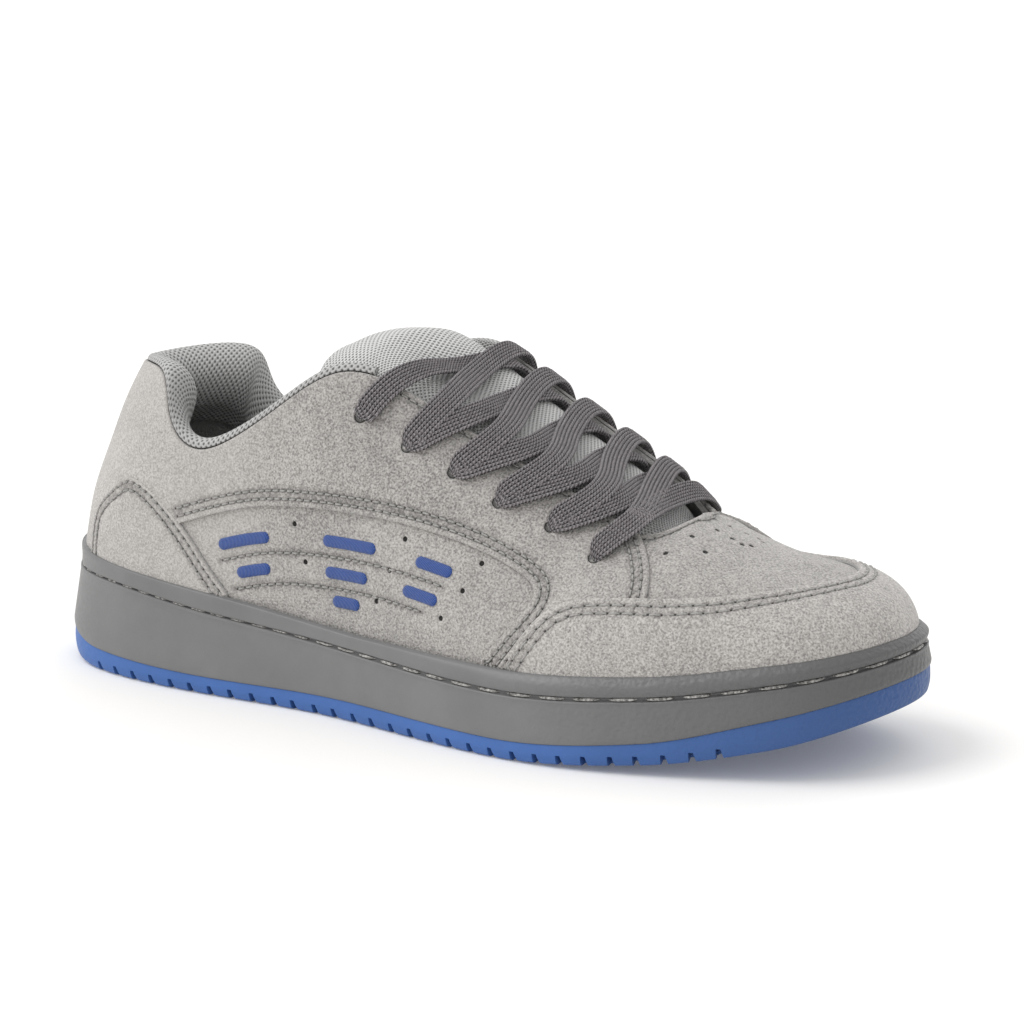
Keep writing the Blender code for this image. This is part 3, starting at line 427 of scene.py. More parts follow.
def form(k, t, side, offset=0.0):
    """Points of the form pushed out along its normal, and that normal."""
    k, t = np.broadcast_arrays(np.asarray(k, float), np.asarray(t, float))
    k, t = k.ravel(), t.ravel()
    s = np.minimum(t, NORMAL_TOP)
    dk = on_ribs(np.clip(k + 0.02, 0, HEEL), s, side) - on_ribs(np.clip(k - 0.02, 0, HEEL), s, side)
    dt = on_ribs(k, np.maximum(s + 0.01, 0.01), side) - on_ribs(k, np.maximum(s - 0.01, 0), side)
    normal = unit(np.cross(dt, dk) * -side)
    return on_ribs(k, t, side) + normal * np.asarray(offset).reshape(-1, 1), normal


def relief(points):
    """Height of the creases at points of the form."""
    total = np.zeros(len(points))
    for _, start, end, depth, width in CREASES:
        run = np.subtract(end, start)
        part = np.clip((points - start) @ run / (run @ run), 0, 1)
        gap = np.linalg.norm(points - start - part[:, None] * run, axis=1)
        total += depth * np.exp(-(gap / width) ** 2)
    return total


def walk(u):
    """Rib position and side at walk positions u."""
    v = (np.asarray(u, float) + HEEL) % ROUND - HEEL
    return np.abs(v), np.where(v >= 0, LATERAL, MEDIAL)


def surface(u, t, offset=0.0):
    """Points of the creased form at walk positions and heights, pushed out by offset, and the normals."""
    u, t, offset = np.broadcast_arrays(np.asarray(u, float), np.asarray(t, float), np.asarray(offset, float))
    shape = u.shape
    u, t, offset = u.ravel(), t.ravel(), offset.ravel()
    k, sides = walk(u)
    points, normals = np.empty((len(u), 3)), np.empty((len(u), 3))
    for side in SIDES:
        pick = sides == side
        if pick.any():
            points[pick], normals[pick] = form(k[pick], t[pick], side)
    points += normals * (offset + relief(points))[:, None]
    return points.reshape(shape + (3,)), normals.reshape(shape + (3,))


def moved(u, t, move):
    """Walk positions after a short move, given in millimetres along the surface."""
    here = surface(u, t)[0]
    back = np.where(t > 0.5, -0.004, 0.004)
    du = (surface(u + 0.004, t)[0] - here) / 0.004
    dt = (surface(u, t + back)[0] - here) / back[..., None]
    a, b, c = (du * du).sum(-1), (du * dt).sum(-1), (dt * dt).sum(-1)
    p, q = (du * move).sum(-1), (dt * move).sum(-1)
    det = a * c - b * b
    return u + (c * p - b * q) / det, t + (a * q - b * p) / det


def beside(line, distance, step=0.8):
    """A line of walk positions shifted over the surface, into the panel whose outline it runs along."""
    u, t = np.array(line, float).T
    count = max(1, int(np.ceil(abs(distance) / step)))
    for _ in range(count):
        points, normals = surface(u, t)
        along = unit(np.gradient(points, axis=0))
        u, t = moved(u, t, np.cross(along, normals) * distance / count)
    return np.column_stack([u, t])


def evened(line, spacing, start=0.0, stop=None):
    """Points of a line of walk positions at even distances over the surface, between two distances."""
    run = lengths(surface(line[:, 0], line[:, 1])[0])
    stop = run[-1] + stop if stop is not None and stop <= 0 else (stop or run[-1])
    count = max(2, int(round((stop - start) / spacing)) + 1)
    even = np.linspace(start, stop, count)
    return np.column_stack([np.interp(even, run, column) for column in np.asarray(line).T])


def from_view(points, side, skew=0.0):
    """Walk positions of side-view points (x and z) on one side of the form."""
    points = np.asarray(points, float)

    def seen(k, t):
        p = on_ribs(k, t, side)
        return np.column_stack([p[:, 0] - skew * (p[:, 1] - SKEW_FROM), p[:, 2]])

    k, t = (g.ravel() for g in np.meshgrid(np.linspace(0, HEEL, 281), np.linspace(-0.1, 1, 45)))
    grid = seen(k, t)
    nearest = [int(np.argmin(((grid - p) ** 2).sum(1))) for p in points]
    k, t = k[nearest], t[nearest]
    for _ in range(8):
        here = seen(k, t)
        dk = (seen(np.clip(k + 0.01, 0, HEEL), t) - seen(np.clip(k - 0.01, 0, HEEL), t)) / 0.02
        dt = (seen(k, t + 0.005) - seen(k, t - 0.005)) / 0.01
        gap = points - here
        det = dk[:, 0] * dt[:, 1] - dk[:, 1] * dt[:, 0]
        det = np.where(np.abs(det) < 1e-3, 1e-3, det)
        k = np.clip(k + np.clip((gap[:, 0] * dt[:, 1] - gap[:, 1] * dt[:, 0]) / det, -0.5, 0.5), 0, HEEL)
        t = np.clip(t + np.clip((dk[:, 0] * gap[:, 1] - dk[:, 1] * gap[:, 0]) / det, -0.2, 0.2), -0.12, 1.0)
    return np.column_stack([k, t])


def crossing(first, second):
    """Where a line of walk positions first crosses another: the places in both lists, and the point."""
    for i in range(len(first) - 1):
        p, r = first[i], first[i + 1] - first[i]
        q, s = second[:-1], np.diff(second, axis=0)
        det = r[0] * s[:, 1] - r[1] * s[:, 0]
        det = np.where(np.abs(det) < 1e-12, 1e-12, det)
        a = ((q[:, 0] - p[0]) * s[:, 1] - (q[:, 1] - p[1]) * s[:, 0]) / det
        b = ((q[:, 0] - p[0]) * r[1] - (q[:, 1] - p[1]) * r[0]) / det
        hit = np.flatnonzero((a >= 0) & (a <= 1) & (b >= 0) & (b <= 1))
        if len(hit):
            return i, int(hit[0]), p + a[hit[0]] * r
    raise ValueError("two panel edges that should meet do not cross")


def placed(points):
    """Points of the tables' frame as metres in the part's frame."""
    return ((np.asarray(points, float) + (0.0, SIDE_SHIFT, 0.0)) * MM).astype(np.float32)


def active(piece):
    """Makes a piece the only selected and active one."""
    bpy.ops.object.select_all(action="DESELECT")
    piece.select_set(True)
    bpy.context.view_layer.objects.active = piece
    return piece


def welded(piece, distance):
    """Merges doubled points and turns the faces outwards."""
    active(piece)
    bpy.ops.object.mode_set(mode="EDIT")
    bpy.ops.mesh.select_all(action="SELECT")
    bpy.ops.mesh.remove_doubles(threshold=distance * MM)
    bpy.ops.mesh.normals_make_consistent(inside=False)
    bpy.ops.object.mode_set(mode="OBJECT")
    return piece


def smoothed(piece, degrees):
    """Shades a piece smooth, with its edges sharp above an angle."""
    active(piece)
    bpy.ops.object.shade_smooth_by_angle(angle=np.radians(degrees))
    return piece


def mapped(along, across):
    """A grid's own map in millimetres, from the distances along its rows and its columns."""
    return np.stack(np.broadcast_arrays(along[:, None], across[None]), -1)


def wrapped(name, points, uv, degrees):
    """A grid laid over a form: rows by columns of points in millimetres, closed where its edges meet."""
    rows, columns = points.shape[:2]
    bpy.ops.object.select_all(action="DESELECT")
    bpy.ops.mesh.primitive_grid_add(x_subdivisions=columns - 1, y_subdivisions=rows - 1, size=1.0)
    piece = bpy.context.object
    piece.name = piece.data.name = name
    mesh = piece.data
    mesh.vertices.foreach_set("co", placed(points).ravel())
    corners = np.empty(len(mesh.loops), np.int32)
    mesh.loops.foreach_get("vertex_index", corners)
    mesh.uv_layers[0].data.foreach_set("uv", uv.reshape(-1, 2)[corners].astype(np.float32).ravel())
    mesh.update()
    return smoothed(welded(piece, GRID_WELD), degrees)


def arrayed(name, points, faces):
    """A mesh of many small or freely cut faces, from arrays."""
    mesh = bpy.data.meshes.new(name)
    mesh.from_pydata(placed(points), [], [tuple(face) for face in faces])
    piece = bpy.data.objects.new(name, mesh)
    bpy.context.scene.collection.objects.link(piece)
    return smoothed(piece, PANEL_ANGLE)


def point_values(piece, name, values):
    """Stores one number per point for the material to read."""
    store = piece.data.attributes.new(name, "FLOAT", "POINT")
    store.data.foreach_set("value", np.asarray(values, np.float32))


def carried(piece, look, slot=None, *nodes):
    """Gives a piece its finish, its body and the solids that it stands for; the slot argument is not used."""
    piece.data.materials.clear()
    piece.data.materials.append(look)
    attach(piece, "root")
    if nodes:
        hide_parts(*nodes)
    return piece


def nearest(points, targets):
    """Distance from each point to the nearest target, up to a far value when there are none."""
    if not len(targets):
        return np.full(len(points), 1e3)
    tree = KDTree(len(targets))
    for i, target in enumerate(targets):
        tree.insert(target, i)
    tree.balance()
    return np.array([tree.find(p)[2] for p in points])


ARC_WALK = np.linspace(-HEEL, ROUND, 1681)
ARC_RUN = lengths(surface(ARC_WALK, 0.35)[0])
CHART_HEIGHT = 62.0   # a rib's height on the flat chart that panels are cut on
SOFT, PLAIN, SEAMED = range(3)
EDGE_ROUND = 0.55
EDGE_LOOPS = (0.1, 0.25, 0.5, 0.9, 1.5)  # lines of points inside a soft edge
# how far in from a cut edge its painted highlight reaches
EDGE_HIGHLIGHT_RUN = 0.5
HOLE_LOOPS = (0.0, 0.12, 0.35, 0.8)      # rings of points round an opening, out from its edge
HOLE_SIDES, PERFORATION_SIDES = 28, 14
PERFORATION = 0.8     # radius of the small openings
PIT_LOOPS, PIT_SIDES = (0.3, 0.65), 6
PIT_SLOT = 0.32       # needle holes are drawn out this far along their row, either way
# painted shade darkens needle holes and the walls of openings; PIT_SHADE is how far it reaches round a needle
# hole
PIT_DEPTH, PIT_WIDTH, PIT_SHADE = 0.6, 0.4, 0.42
SEAM_PULL, SEAM_WIDTH = 0.1, 1.2         # a row of stitches pulls the panel in
SEAM_TWINS = 0.15     # points this close on both sides of a slit are one


def charted(line):
    line = np.asarray(line, float)
    return np.column_stack([np.interp(line[:, 0], ARC_WALK, ARC_RUN), line[:, 1] * CHART_HEIGHT])


def uncharted(points):
    return np.interp(points[:, 0], ARC_RUN, ARC_WALK), points[:, 1] / CHART_HEIGHT


def rings(spots, radii, count):
    """Rings of walk positions round spots on the form, one array of count points per radius and spot."""
    spots = np.asarray(spots, float).reshape(-1, 2)
    u, t = spots.T
    ahead = unit(surface(u + 0.01, t)[0] - surface(u, t)[0])
    normal = surface(u, t)[1]
    side = np.cross(normal, ahead)
    made = []
    for radius in radii:
        for turn in np.linspace(0, 2 * np.pi, count, endpoint=False):
            made.append(np.column_stack(moved(u, t, radius * (ahead * np.cos(turn) + side * np.sin(turn)))))
    return np.array(made).reshape(len(radii), count, len(spots), 2).transpose(2, 0, 1, 3)


def slots(spots):
    """Needle holes drawn out along their row: each hole with a point before and after it."""
    ahead, back = np.roll(spots, -1, 0) - spots, spots - np.roll(spots, 1, 0)
    near = np.linalg.norm(ahead, axis=1) < np.linalg.norm(back, axis=1)
    along = PIT_SLOT * unit(np.where(near[:, None], ahead, back))
    return np.vstack([spots - along, spots, spots + along])


def panel(name, parts, face, wall, holes=(), hole_size=2.0, pits=(), grooves=(), spacing=1.5, small=()):
    """A panel of the upper: cut on the flat chart, laid on the form, its edges rounded, its holes open.

    parts are lines of walk positions round its outline with the kind of edge of each, holes and small are
    round openings, pits the needle holes of its stitches, and grooves the lines that the stitches pull in.
    """
    lines, kinds = [], []
    for line, kind in parts:
        line = np.asarray(line, float)[:-1]
        lines.append(line)
        kinds += [kind] * len(line)
    outline = np.vstack(lines)
    kinds = np.array(kinds)
    count = len(outline)
    closed = np.vstack([outline[-2:], outline, outline[:2]])
    around = surface(outline[:, 0], outline[:, 1])[0]
    keep = []
    for d in EDGE_LOOPS:
        loop = beside(closed, d, 0.3)[2:-2]
        p = surface(*loop.T)[0]
        true = (nearest(p, around) > 0.8 * d) & (np.linalg.norm(p - around, axis=1) < 1.5 * d)
        keep.append(loop[true & (kinds == SOFT)])
    openings = [(loops[0], loops[1:].reshape(-1, 2)) for spots, size, sides in (
        (holes, hole_size, HOLE_SIDES), (small, PERFORATION, PERFORATION_SIDES)) if len(spots)
        for loops in rings(spots, [size + more for more in HOLE_LOOPS], sides)]
    dimples = rings(pits, PIT_LOOPS, PIT_SIDES).reshape(-1, 2) if len(pits) else np.empty((0, 2))
    fixed = [outline] + [loop for loop, _ in openings]
    edges, first = [], 0
    for loop in fixed:
        edges += [(first + i, first + (i + 1) % len(loop)) for i in range(len(loop))]
        first += len(loop)
    free = keep + [more for _, more in openings] + [dimples, np.asarray(pits, float).reshape(-1, 2)]
    drawn = np.vstack(fixed + free)
    low, high = charted(outline).min(0), charted(outline).max(0)
    a, b = np.meshgrid(np.arange(low[0], high[0], spacing), np.arange(low[1], high[1], spacing * 0.87))
    a[1::2] += spacing / 2
    u, t = uncharted(np.column_stack([a.ravel(), b.ravel()]))
    clear = nearest(surface(u, t)[0], surface(*drawn.T)[0]) > 0.6 * spacing
    sites = np.vstack([charted(drawn), np.column_stack([a.ravel(), b.ravel()])[clear]])
    spots, _, cells, origin, _, _ = delaunay_2d_cdt([Vector(p) for p in sites], edges, [], 2, 1e-5)
    cells = np.array([cell[::-1] for cell in cells])
    used, cells = np.unique(cells, return_inverse=True)
    cells = cells.reshape(-1, 3)
    u, t = uncharted(np.array(spots)[used])
    source = [origin[i][0] if origin[i] else -1 for i in used]

    points, normals = surface(u, t)
    seamed = np.flatnonzero([0 <= s < count and SEAMED in (kinds[s], kinds[s - 1]) for s in source])
    for i in seamed:
        twins = seamed[np.linalg.norm(points[seamed] - points[i], axis=1) < SEAM_TWINS]
        normals[i] = unit(normals[twins].sum(0))
        points[i] = points[twins].mean(0)
    rim = [around[kinds == SOFT]] + [surface(*loop.T)[0] for loop, _ in openings]
    edge = nearest(points, dense(np.vstack(rim)) if len(rim[0]) else np.vstack(rim))
    short = np.clip(EDGE_ROUND - edge, 0, EDGE_ROUND)
    height = wall - EDGE_ROUND + np.sqrt(EDGE_ROUND**2 - short**2)
    sunk = nearest(points, np.vstack([surface(*g.T)[0] for g in grooves])) if grooves else np.full(len(u), 9.0)
    height -= SEAM_PULL * np.exp(-(sunk / SEAM_WIDTH) ** 2)
    pit = nearest(points, slots(surface(*np.asarray(pits).T)[0]) if len(pits) else [])
    height -= np.minimum(PIT_DEPTH, 0.8 * wall) * np.exp(-(pit / PIT_WIDTH) ** 2)
    total = len(u)
    body = np.vstack([points + normals * (face + height)[:, None], points + normals * face])
    faces = [tuple(c) for c in cells] + [tuple(c[::-1] + total) for c in cells]
    seen = {}
    for cell in cells:
        for i, j in zip(cell, np.roll(cell, -1)):
            seen[(i, j)] = (j, i) not in seen and (i, j) not in seen
            if (j, i) in seen:
                seen[(i, j)] = seen[(j, i)] = False
    for (i, j), border in seen.items():
        a, b = source[i], source[j]
        kind = PLAIN
        if 0 <= a < count and 0 <= b < count:
            kind = kinds[b] if (b + 1) % count == a else kinds[a]
        if border and kind != SEAMED:
            faces.append((j, i, i + total, j + total))
    piece = arrayed(name, body, faces)
    # painted shade on the walls of lace holes and perforations, and round the needle holes
    hole_wall_shade = np.array([count <= s < first for s in source], float)
    painted_pit_shade = np.maximum(hole_wall_shade, np.exp(-(pit / PIT_SHADE) ** 2))
    point_values(piece, "pit", np.concatenate([painted_pit_shade, hole_wall_shade]))
    # painted highlight along the cut edges, for the material to read
    point_values(piece, "edge", np.concatenate([np.exp(-edge / EDGE_HIGHLIGHT_RUN), np.zeros(total)]))
    point_values(piece, "inside", np.repeat((0.0, 1.0), total))
    return piece


def dense(points):
    """Points of a rim with one more between near neighbours."""
    middle = 0.5 * (points + np.roll(points, -1, 0))
    near = np.linalg.norm(points - np.roll(points, -1, 0), axis=1) < 3.0
    return np.vstack([points, middle[near]])


TUBE_SIDES = 6


def tubes(middle, normal, girth):
    """Points and faces of small closed tubes: middle lines and normals by tube and step, a girth per step."""
    count, steps = middle.shape[:2]
    turn = np.linspace(0, 2 * np.pi, TUBE_SIDES, endpoint=False)[:, None]
    side = np.cross(normal, unit(np.gradient(middle, axis=1)))
    ring = normal[:, :, None] * np.sin(turn) + side[:, :, None] * np.cos(turn)
    points = middle[:, :, None] + ring * np.asarray(girth)[..., None, None]
    j = np.arange(TUBE_SIDES)
    n = (j + 1) % TUBE_SIDES
    walls = [np.column_stack([j, n, n + TUBE_SIDES, j + TUBE_SIDES]) + i * TUBE_SIDES for i in range(steps - 1)]
    size = steps * TUBE_SIDES
    faces = []
    for first in range(0, count * size, size):
        faces += (np.vstack(walls) + first).tolist()
        faces += [(j[::-1] + first).tolist(), (j + first + size - TUBE_SIDES).tolist()]
    return points.reshape(-1, 3), faces


STITCH_PART = np.array((0.08, 0.2, 0.5, 0.8, 0.92))
STITCH_RISE = np.array((-0.35, 0.12, 0.30, 0.12, -0.35))
STITCH_GIRTH = np.array((0.6, 0.95, 1.0, 0.95, 0.6))


def stitches(name, rows, offset, pitch, thick):
    """Threads along rows of walk positions that dive into the needle holes at both ends."""
    spots = [evened(row, pitch) for row in rows]
    start = np.vstack([s[:-1] for s in spots])[:, None]
    end = np.vstack([s[1:] for s in spots])[:, None]
    line = start + (end - start) * STITCH_PART[:, None]
    middle, normal = surface(line[..., 0], line[..., 1], offset + STITCH_RISE)
    return arrayed(name, *tubes(middle, normal, STITCH_GIRTH * thick / 2))


def cut_front(line, end):
    """A line of walk positions up to the point where it meets another, that point included."""
    i, _, point = crossing(line, end)
    return np.vstack([line[:i + 1], point])


def cut_back(line, start):
    """A line of walk positions from the point where another meets it, that point included."""
    _, j, point = crossing(start, line)
    return np.vstack([point, line[j + 1:]])


def footed(line, ends):
    """Brings the ends of an edge down to the panel's foot: 0 its first point, -1 its last."""
    for end in ends:
        toe = [(line[end, 0], PANEL_FOOT)]
        line = np.vstack([toe, line]) if end == 0 else np.vstack([line, toe])
    return line


def guard_line(side):
    """The toe guard's edge on one side, from the sole behind it to the toe tip."""
    edge = smooth_line(GUARD_EDGE, 220)
    rear = from_view(edge[edge[:, 0] < GUARD_TURN], side)
    k = np.append(np.arange(rear[-1, 0] - 0.04, 0.02, -0.04), 0.0)
    low, high = np.zeros(len(k)), np.ones(len(k))
    for _ in range(24):
        middle = 0.5 * (low + high)
        p = on_ribs(k, middle, side)
        under = p[:, 2] < np.interp(p[:, 0], edge[:, 0], edge[:, 1])
        low, high = np.where(under, middle, low), np.where(under, high, middle)
    rear = rear[rear[:, 1] > 0.01]
    return footed(np.vstack([rear, np.column_stack([k, low])]), (0,))


def fin_line(side):
    """The heel panel's edge, from the sole in front over its top to the sole behind."""
    line = from_view(smooth_line(FIN_EDGE, 170), side)
    return footed(line[line[:, 1] > 0.01], (0, -1))


def window_line(side):
    """The edge of the quarter's window, from the sole in front over the arch to the heel panel."""
    line = from_view(smooth_line(WINDOW_EDGE, 230), side)
    return footed(line[line[:, 1] > 0.01], (0,))


def eyestay_line(side):
    """The quarter's front edge, from the throat down to the toe guard."""
    line = from_view(smooth_line(EYESTAY_FRONT, 60), side, EYESTAY_SKEW)
    line = line[line[:, 1] < 0.985]
    start = line[0] + (line[0] - line[3]) * (1 - line[0, 1]) / (line[0, 1] - line[3, 1])
    return np.vstack([[start[0], 1.0], line])


def level_line(start, end, height, step=0.04):
    count = max(2, int(abs(end - start) / step) + 1)
    return np.column_stack([np.linspace(start, end, count), np.full(count, height)])


def on_side(line, side):
    """Rib positions as walk positions; on the inner side the line runs the other way."""
    return line if side == LATERAL else (np.asarray(line) * (-1, 1) + (ROUND, 0))[::-1]


def quarter_edges(side):
    """The quarter's edges on one side, named, each as rib positions and heights."""
    guard, fin = guard_line(side), fin_line(side)
    window, eyestay = window_line(side), eyestay_line(side)
    below_guard = cut_front(guard, eyestay)
    arch = cut_front(window, fin)
    behind = cut_back(fin, window)
    return {
        "leg": level_line(guard[0, 0], window[0, 0], PANEL_FOOT),
        "arch": arch,
        "fin": behind,
        "heel": level_line(behind[-1, 0], HEEL, PANEL_FOOT),
        "top": level_line(HEEL, eyestay[0, 0], 1.0),
        "front": cut_front(eyestay, guard),
        "guard": below_guard[::-1],
    }


EDGES = {side: quarter_edges(side) for side in SIDES}
ARCHES = {side: on_side(EDGES[side]["arch"], side) for side in SIDES}
FRONTS = {side: on_side(EDGES[side]["front"], side) for side in SIDES}
THROATS = {side: on_side(level_line(LINING_START, EDGES[side]["top"][-1, 0], 1.0), side) for side in SIDES}
FINS = {side: on_side(fin_line(side)[::-1], side) for side in SIDES}
GUARD_RIM = np.vstack([guard_line(LATERAL), (guard_line(MEDIAL) * (-1, 1))[-2::-1]])
LACE_HOLES = np.array([spot for a, b, c, d in EYELETS for spot in ((a, b), (ROUND - c, d))])


def rows_beside(line, distances, start=0.0, stop=None):
    """Stitch rows at distances inside an edge."""
    return [evened(beside(line, d), ROW_STEP, start, stop) for d in distances]


QUARTER_ROWS = [row for side in SIDES for row in (
    rows_beside(ARCHES[side], ARCH_SEAMS) + rows_beside(FRONTS[side], FRONT_SEAMS, 3.0)
    + rows_beside(THROATS[side], THROAT_SEAMS, 2.0, -1.0))]
GUARD_ROWS = rows_beside(GUARD_RIM, GUARD_SEAMS)
FIN_ROWS = {side: rows_beside(FINS[side], FIN_SEAMS) for side in SIDES}


def vamp_row(side):
    """The seam along the vamp's throat edge, from the quarter to the ridge of the vamp."""
    line = beside(level_line(5.1, 4.1, 1.0), 2.2)
    return on_side(np.vstack([line[line[:, 1] < 0.99], [(3.86, 0.999)]]), side)


def field_row(side, below):
    """A seam across the window, parallel to its arch."""
    line = beside(ARCHES[side], -below)
    p = surface(line[:, 0], line[:, 1])[0]
    clear = (nearest(p, surface(*ARCHES[side].T)[0]) > 0.95 * below) & (line[:, 1] > 0.05)
    clear &= (p[:, 0] > FIELD_REAR + 0.5 * below) & (p[:, 0] < FIELD_FRONT - 0.7 * below)
    return line[clear]


VAMP_ROWS = [vamp_row(side) for side in SIDES]
FIELD_ROWS = [field_row(side, below) for side in SIDES for below in FIELD_SEAMS]


def new_look(name, roughness, **settings):
    """A material with its Principled shader; settings go to the shader's own sockets."""
    look = bpy.data.materials.new(name)
    look.use_nodes = True
    shader = look.node_tree.nodes["Principled BSDF"]
    shader.inputs["Roughness"].default_value = roughness
    for key, value in settings.items():
        shader.inputs[key.replace("_", " ")].default_value = value
    return look, look.node_tree, shader


def add(tree, kind, inputs=None, **settings):
    """A shader node with its inputs set or linked."""
    made = tree.nodes.new("ShaderNode" + kind)
    for key, value in settings.items():
        setattr(made, key, value)
    for key, value in (inputs or {}).items():
        if isinstance(value, bpy.types.NodeSocket):
            tree.links.new(value, made.inputs[key])
        else:
            made.inputs[key].default_value = value
    return made


def sums(tree, operation, *values):
    return add(tree, "Math", dict(enumerate(values)), operation=operation).outputs[0]


def own_place(tree):
    """Coordinates of the object itself, in metres."""
    return add(tree, "TexCoord").outputs["Object"]


def map_parts(tree):
    """The two parts of a piece's own map, which is in millimetres."""
    split = add(tree, "SeparateXYZ", {0: add(tree, "UVMap").outputs["UV"]})
    return split.outputs["X"], split.outputs["Y"]


def point_value(tree, name):
    return add(tree, "Attribute", attribute_name=name).outputs["Fac"]


def painted(tree, shader, tone):
    tree.links.new(tone, shader.inputs["Base Color"])


def noise(tree, where, scale, detail=3.0, rough=0.55):
    inputs = {"Vector": where, "Scale": scale, "Detail": detail, "Roughness": rough}
    return add(tree, "TexNoise", inputs).outputs["Fac"]


def spread(tree, value, low, high, to_low=0.0, to_high=1.0):
    inputs = {"Value": value, "From Min": low, "From Max": high, "To Min": to_low, "To Max": to_high}
    return add(tree, "MapRange", inputs).outputs["Result"]


def blend(tree, part, first, second):
    """A colour between two, each a colour or a socket."""
    made = tree.nodes.new("ShaderNodeMix")
    made.data_type = "RGBA"
    tree.links.new(part, made.inputs["Factor"])
    for key, value in ((6, first), (7, second)):
        if isinstance(value, bpy.types.NodeSocket):
            tree.links.new(value, made.inputs[key])
        else:
            made.inputs[key].default_value = (*value, 1.0)
    return made.outputs[2]


def raised(tree, shader, height, strength, distance):
    bump = add(tree, "Bump", {"Height": height, "Strength": strength, "Distance": distance * MM})
    tree.links.new(bump.outputs["Normal"], shader.inputs["Normal"])


def dimmed(colour, by):
    return tuple(c * by for c in colour)


def suede_look(name, colour, lining):
    """Suede: a cloudy nap that is darker by the laces, with painted light that makes it paler at the heel, coarse
    grain, soft scuffs, a painted highlight along cut edges, painted shade in needle holes and openings, and
    lining cloth on the inside."""
    look, tree, shader = new_look(name, 0.94, Sheen_Weight=0.25, Sheen_Roughness=0.5, Specular_IOR_Level=0.2)
    where = own_place(tree)
    split = add(tree, "SeparateXYZ", {0: where})
    cloud = noise(tree, where, 34.0, 2.0)
    nap = noise(tree, where, 320.0, 3.0, 0.6)
    grain = noise(tree, where, 1500.0, 1.5, 0.6)
    along = sums(tree, "ADD", split.outputs["X"], spread(tree, cloud, 0.3, 0.7, -0.008, 0.008))
    # painted light: the suede turns paler towards the heel, the side that faces the key light
    heel = spread(tree, along, -0.074, -0.05, 1.0, 0.0)
    high = spread(tree, split.outputs["Z"], 0.048, 0.066)
    high = sums(tree, "MULTIPLY", high, spread(tree, along, 0.04, 0.07, 1.0, 0.0))
    cloudy = spread(tree, cloud, 0.32, 0.68, -0.1, 0.14)
    shade = sums(tree, "ADD", cloudy, spread(tree, nap, 0.28, 0.72, 0.0, 0.24))
    shade = sums(tree, "ADD", shade, spread(tree, grain, 0.3, 0.7, -0.15, 0.95))
    tone = blend(tree, shade, dimmed(colour, 0.6), dimmed(colour, 1.36))
    dark = blend(tree, shade, dimmed(colour, 0.5), dimmed(colour, 1.33))
    # lit tone for the painted light at the heel
    heel_lit_tone = blend(tree, shade, dimmed(colour, 0.9), dimmed(colour, 1.46))
    tone = blend(tree, heel, blend(tree, high, tone, dark), heel_lit_tone)
    scuff = spread(tree, noise(tree, where, 90.0, 5.0, 0.7), 0.6, 0.72, 0.0, 0.3)
    tone = blend(tree, scuff, tone, dimmed(colour, 0.72))
    # painted highlight: cut edges drawn paler
    edge = sums(tree, "MULTIPLY", point_value(tree, "edge"), 0.15)
    tone = blend(tree, edge, tone, dimmed(colour, 1.2))
    tone = blend(tree, point_value(tree, "inside"), tone, dimmed(lining, 0.7))
    # painted shade in needle holes and openings
    tone = blend(tree, point_value(tree, "pit"), tone, dimmed(colour, 0.05))
    painted(tree, shader, tone)
    height = sums(tree, "ADD", grain, sums(tree, "MULTIPLY", nap, 0.8))
    raised(tree, shader, height, 0.9, 0.5)
    return look


def lattice(tree, pitch_along, pitch_across):
    """An offset lattice of threads and holes on the piece's own map."""
    x, y = map_parts(tree)
    along = sums(tree, "MULTIPLY", x, 2 * np.pi / pitch_along)
    across = sums(tree, "MULTIPLY", y, 2 * np.pi / pitch_across)
    return sums(tree, "MULTIPLY", sums(tree, "SINE", along), sums(tree, "SINE", across))


def mesh_look(name, colour, pitch, dark, depth):
    """Spacer mesh: a knit lattice with small dark holes."""
    look, tree, shader = new_look(name, 0.9, Sheen_Weight=0.2, Sheen_Roughness=0.5, Specular_IOR_Level=0.2)
    where = own_place(tree)
    knit = lattice(tree, pitch, pitch * 1.2)
    fuzz = noise(tree, where, 1500.0, 2.0)
    cloud = noise(tree, where, 60.0, 2.0)
    rough = sums(tree, "ADD", knit, sums(tree, "MULTIPLY", fuzz, 0.4))
    tone = blend(tree, spread(tree, rough, -0.5, 0.2), dimmed(colour, dark), dimmed(colour, 1.12))
    tone = blend(tree, spread(tree, cloud, 0.3, 0.7, 0.0, 0.25), tone, dimmed(colour, 0.8))
    painted(tree, shader, tone)
    raised(tree, shader, rough, 0.7, depth)
    return look


def lace_look(name, colour):
    """Flat braid: slanting yarns that meet in a chevron on every rib, and painted shade in the valleys between
    ribs.
    """
    look, tree, shader = new_look(name, 0.85, Sheen_Weight=0.25, Sheen_Roughness=0.45, Specular_IOR_Level=0.25)
    along, across = map_parts(tree)
    half = sums(tree, "ABSOLUTE", sums(tree, "SUBTRACT", sums(tree, "FRACT", across), 0.5))
    slant = sums(tree, "ADD", along, sums(tree, "MULTIPLY", half, 1.5))
    yarn = sums(tree, "SINE", sums(tree, "MULTIPLY", slant, 2 * np.pi / 1.2))
    valley_shade = spread(tree, half, 0.25, 0.5)
    where = own_place(tree)
    fuzz = noise(tree, where, 1700.0, 2.0)
    light = sums(tree, "ADD", sums(tree, "MULTIPLY", yarn, 0.34), spread(tree, fuzz, 0.25, 0.75, 0.25, 1.0))
    # painted shade darkens the valleys between the ribs
    light = sums(tree, "SUBTRACT", light, sums(tree, "MULTIPLY", valley_shade, 0.75))
    painted(tree, shader, blend(tree, light, dimmed(colour, 0.16), dimmed(colour, 2.4)))
    raised(tree, shader, sums(tree, "ADD", yarn, fuzz), 0.8, 0.25)
    return look


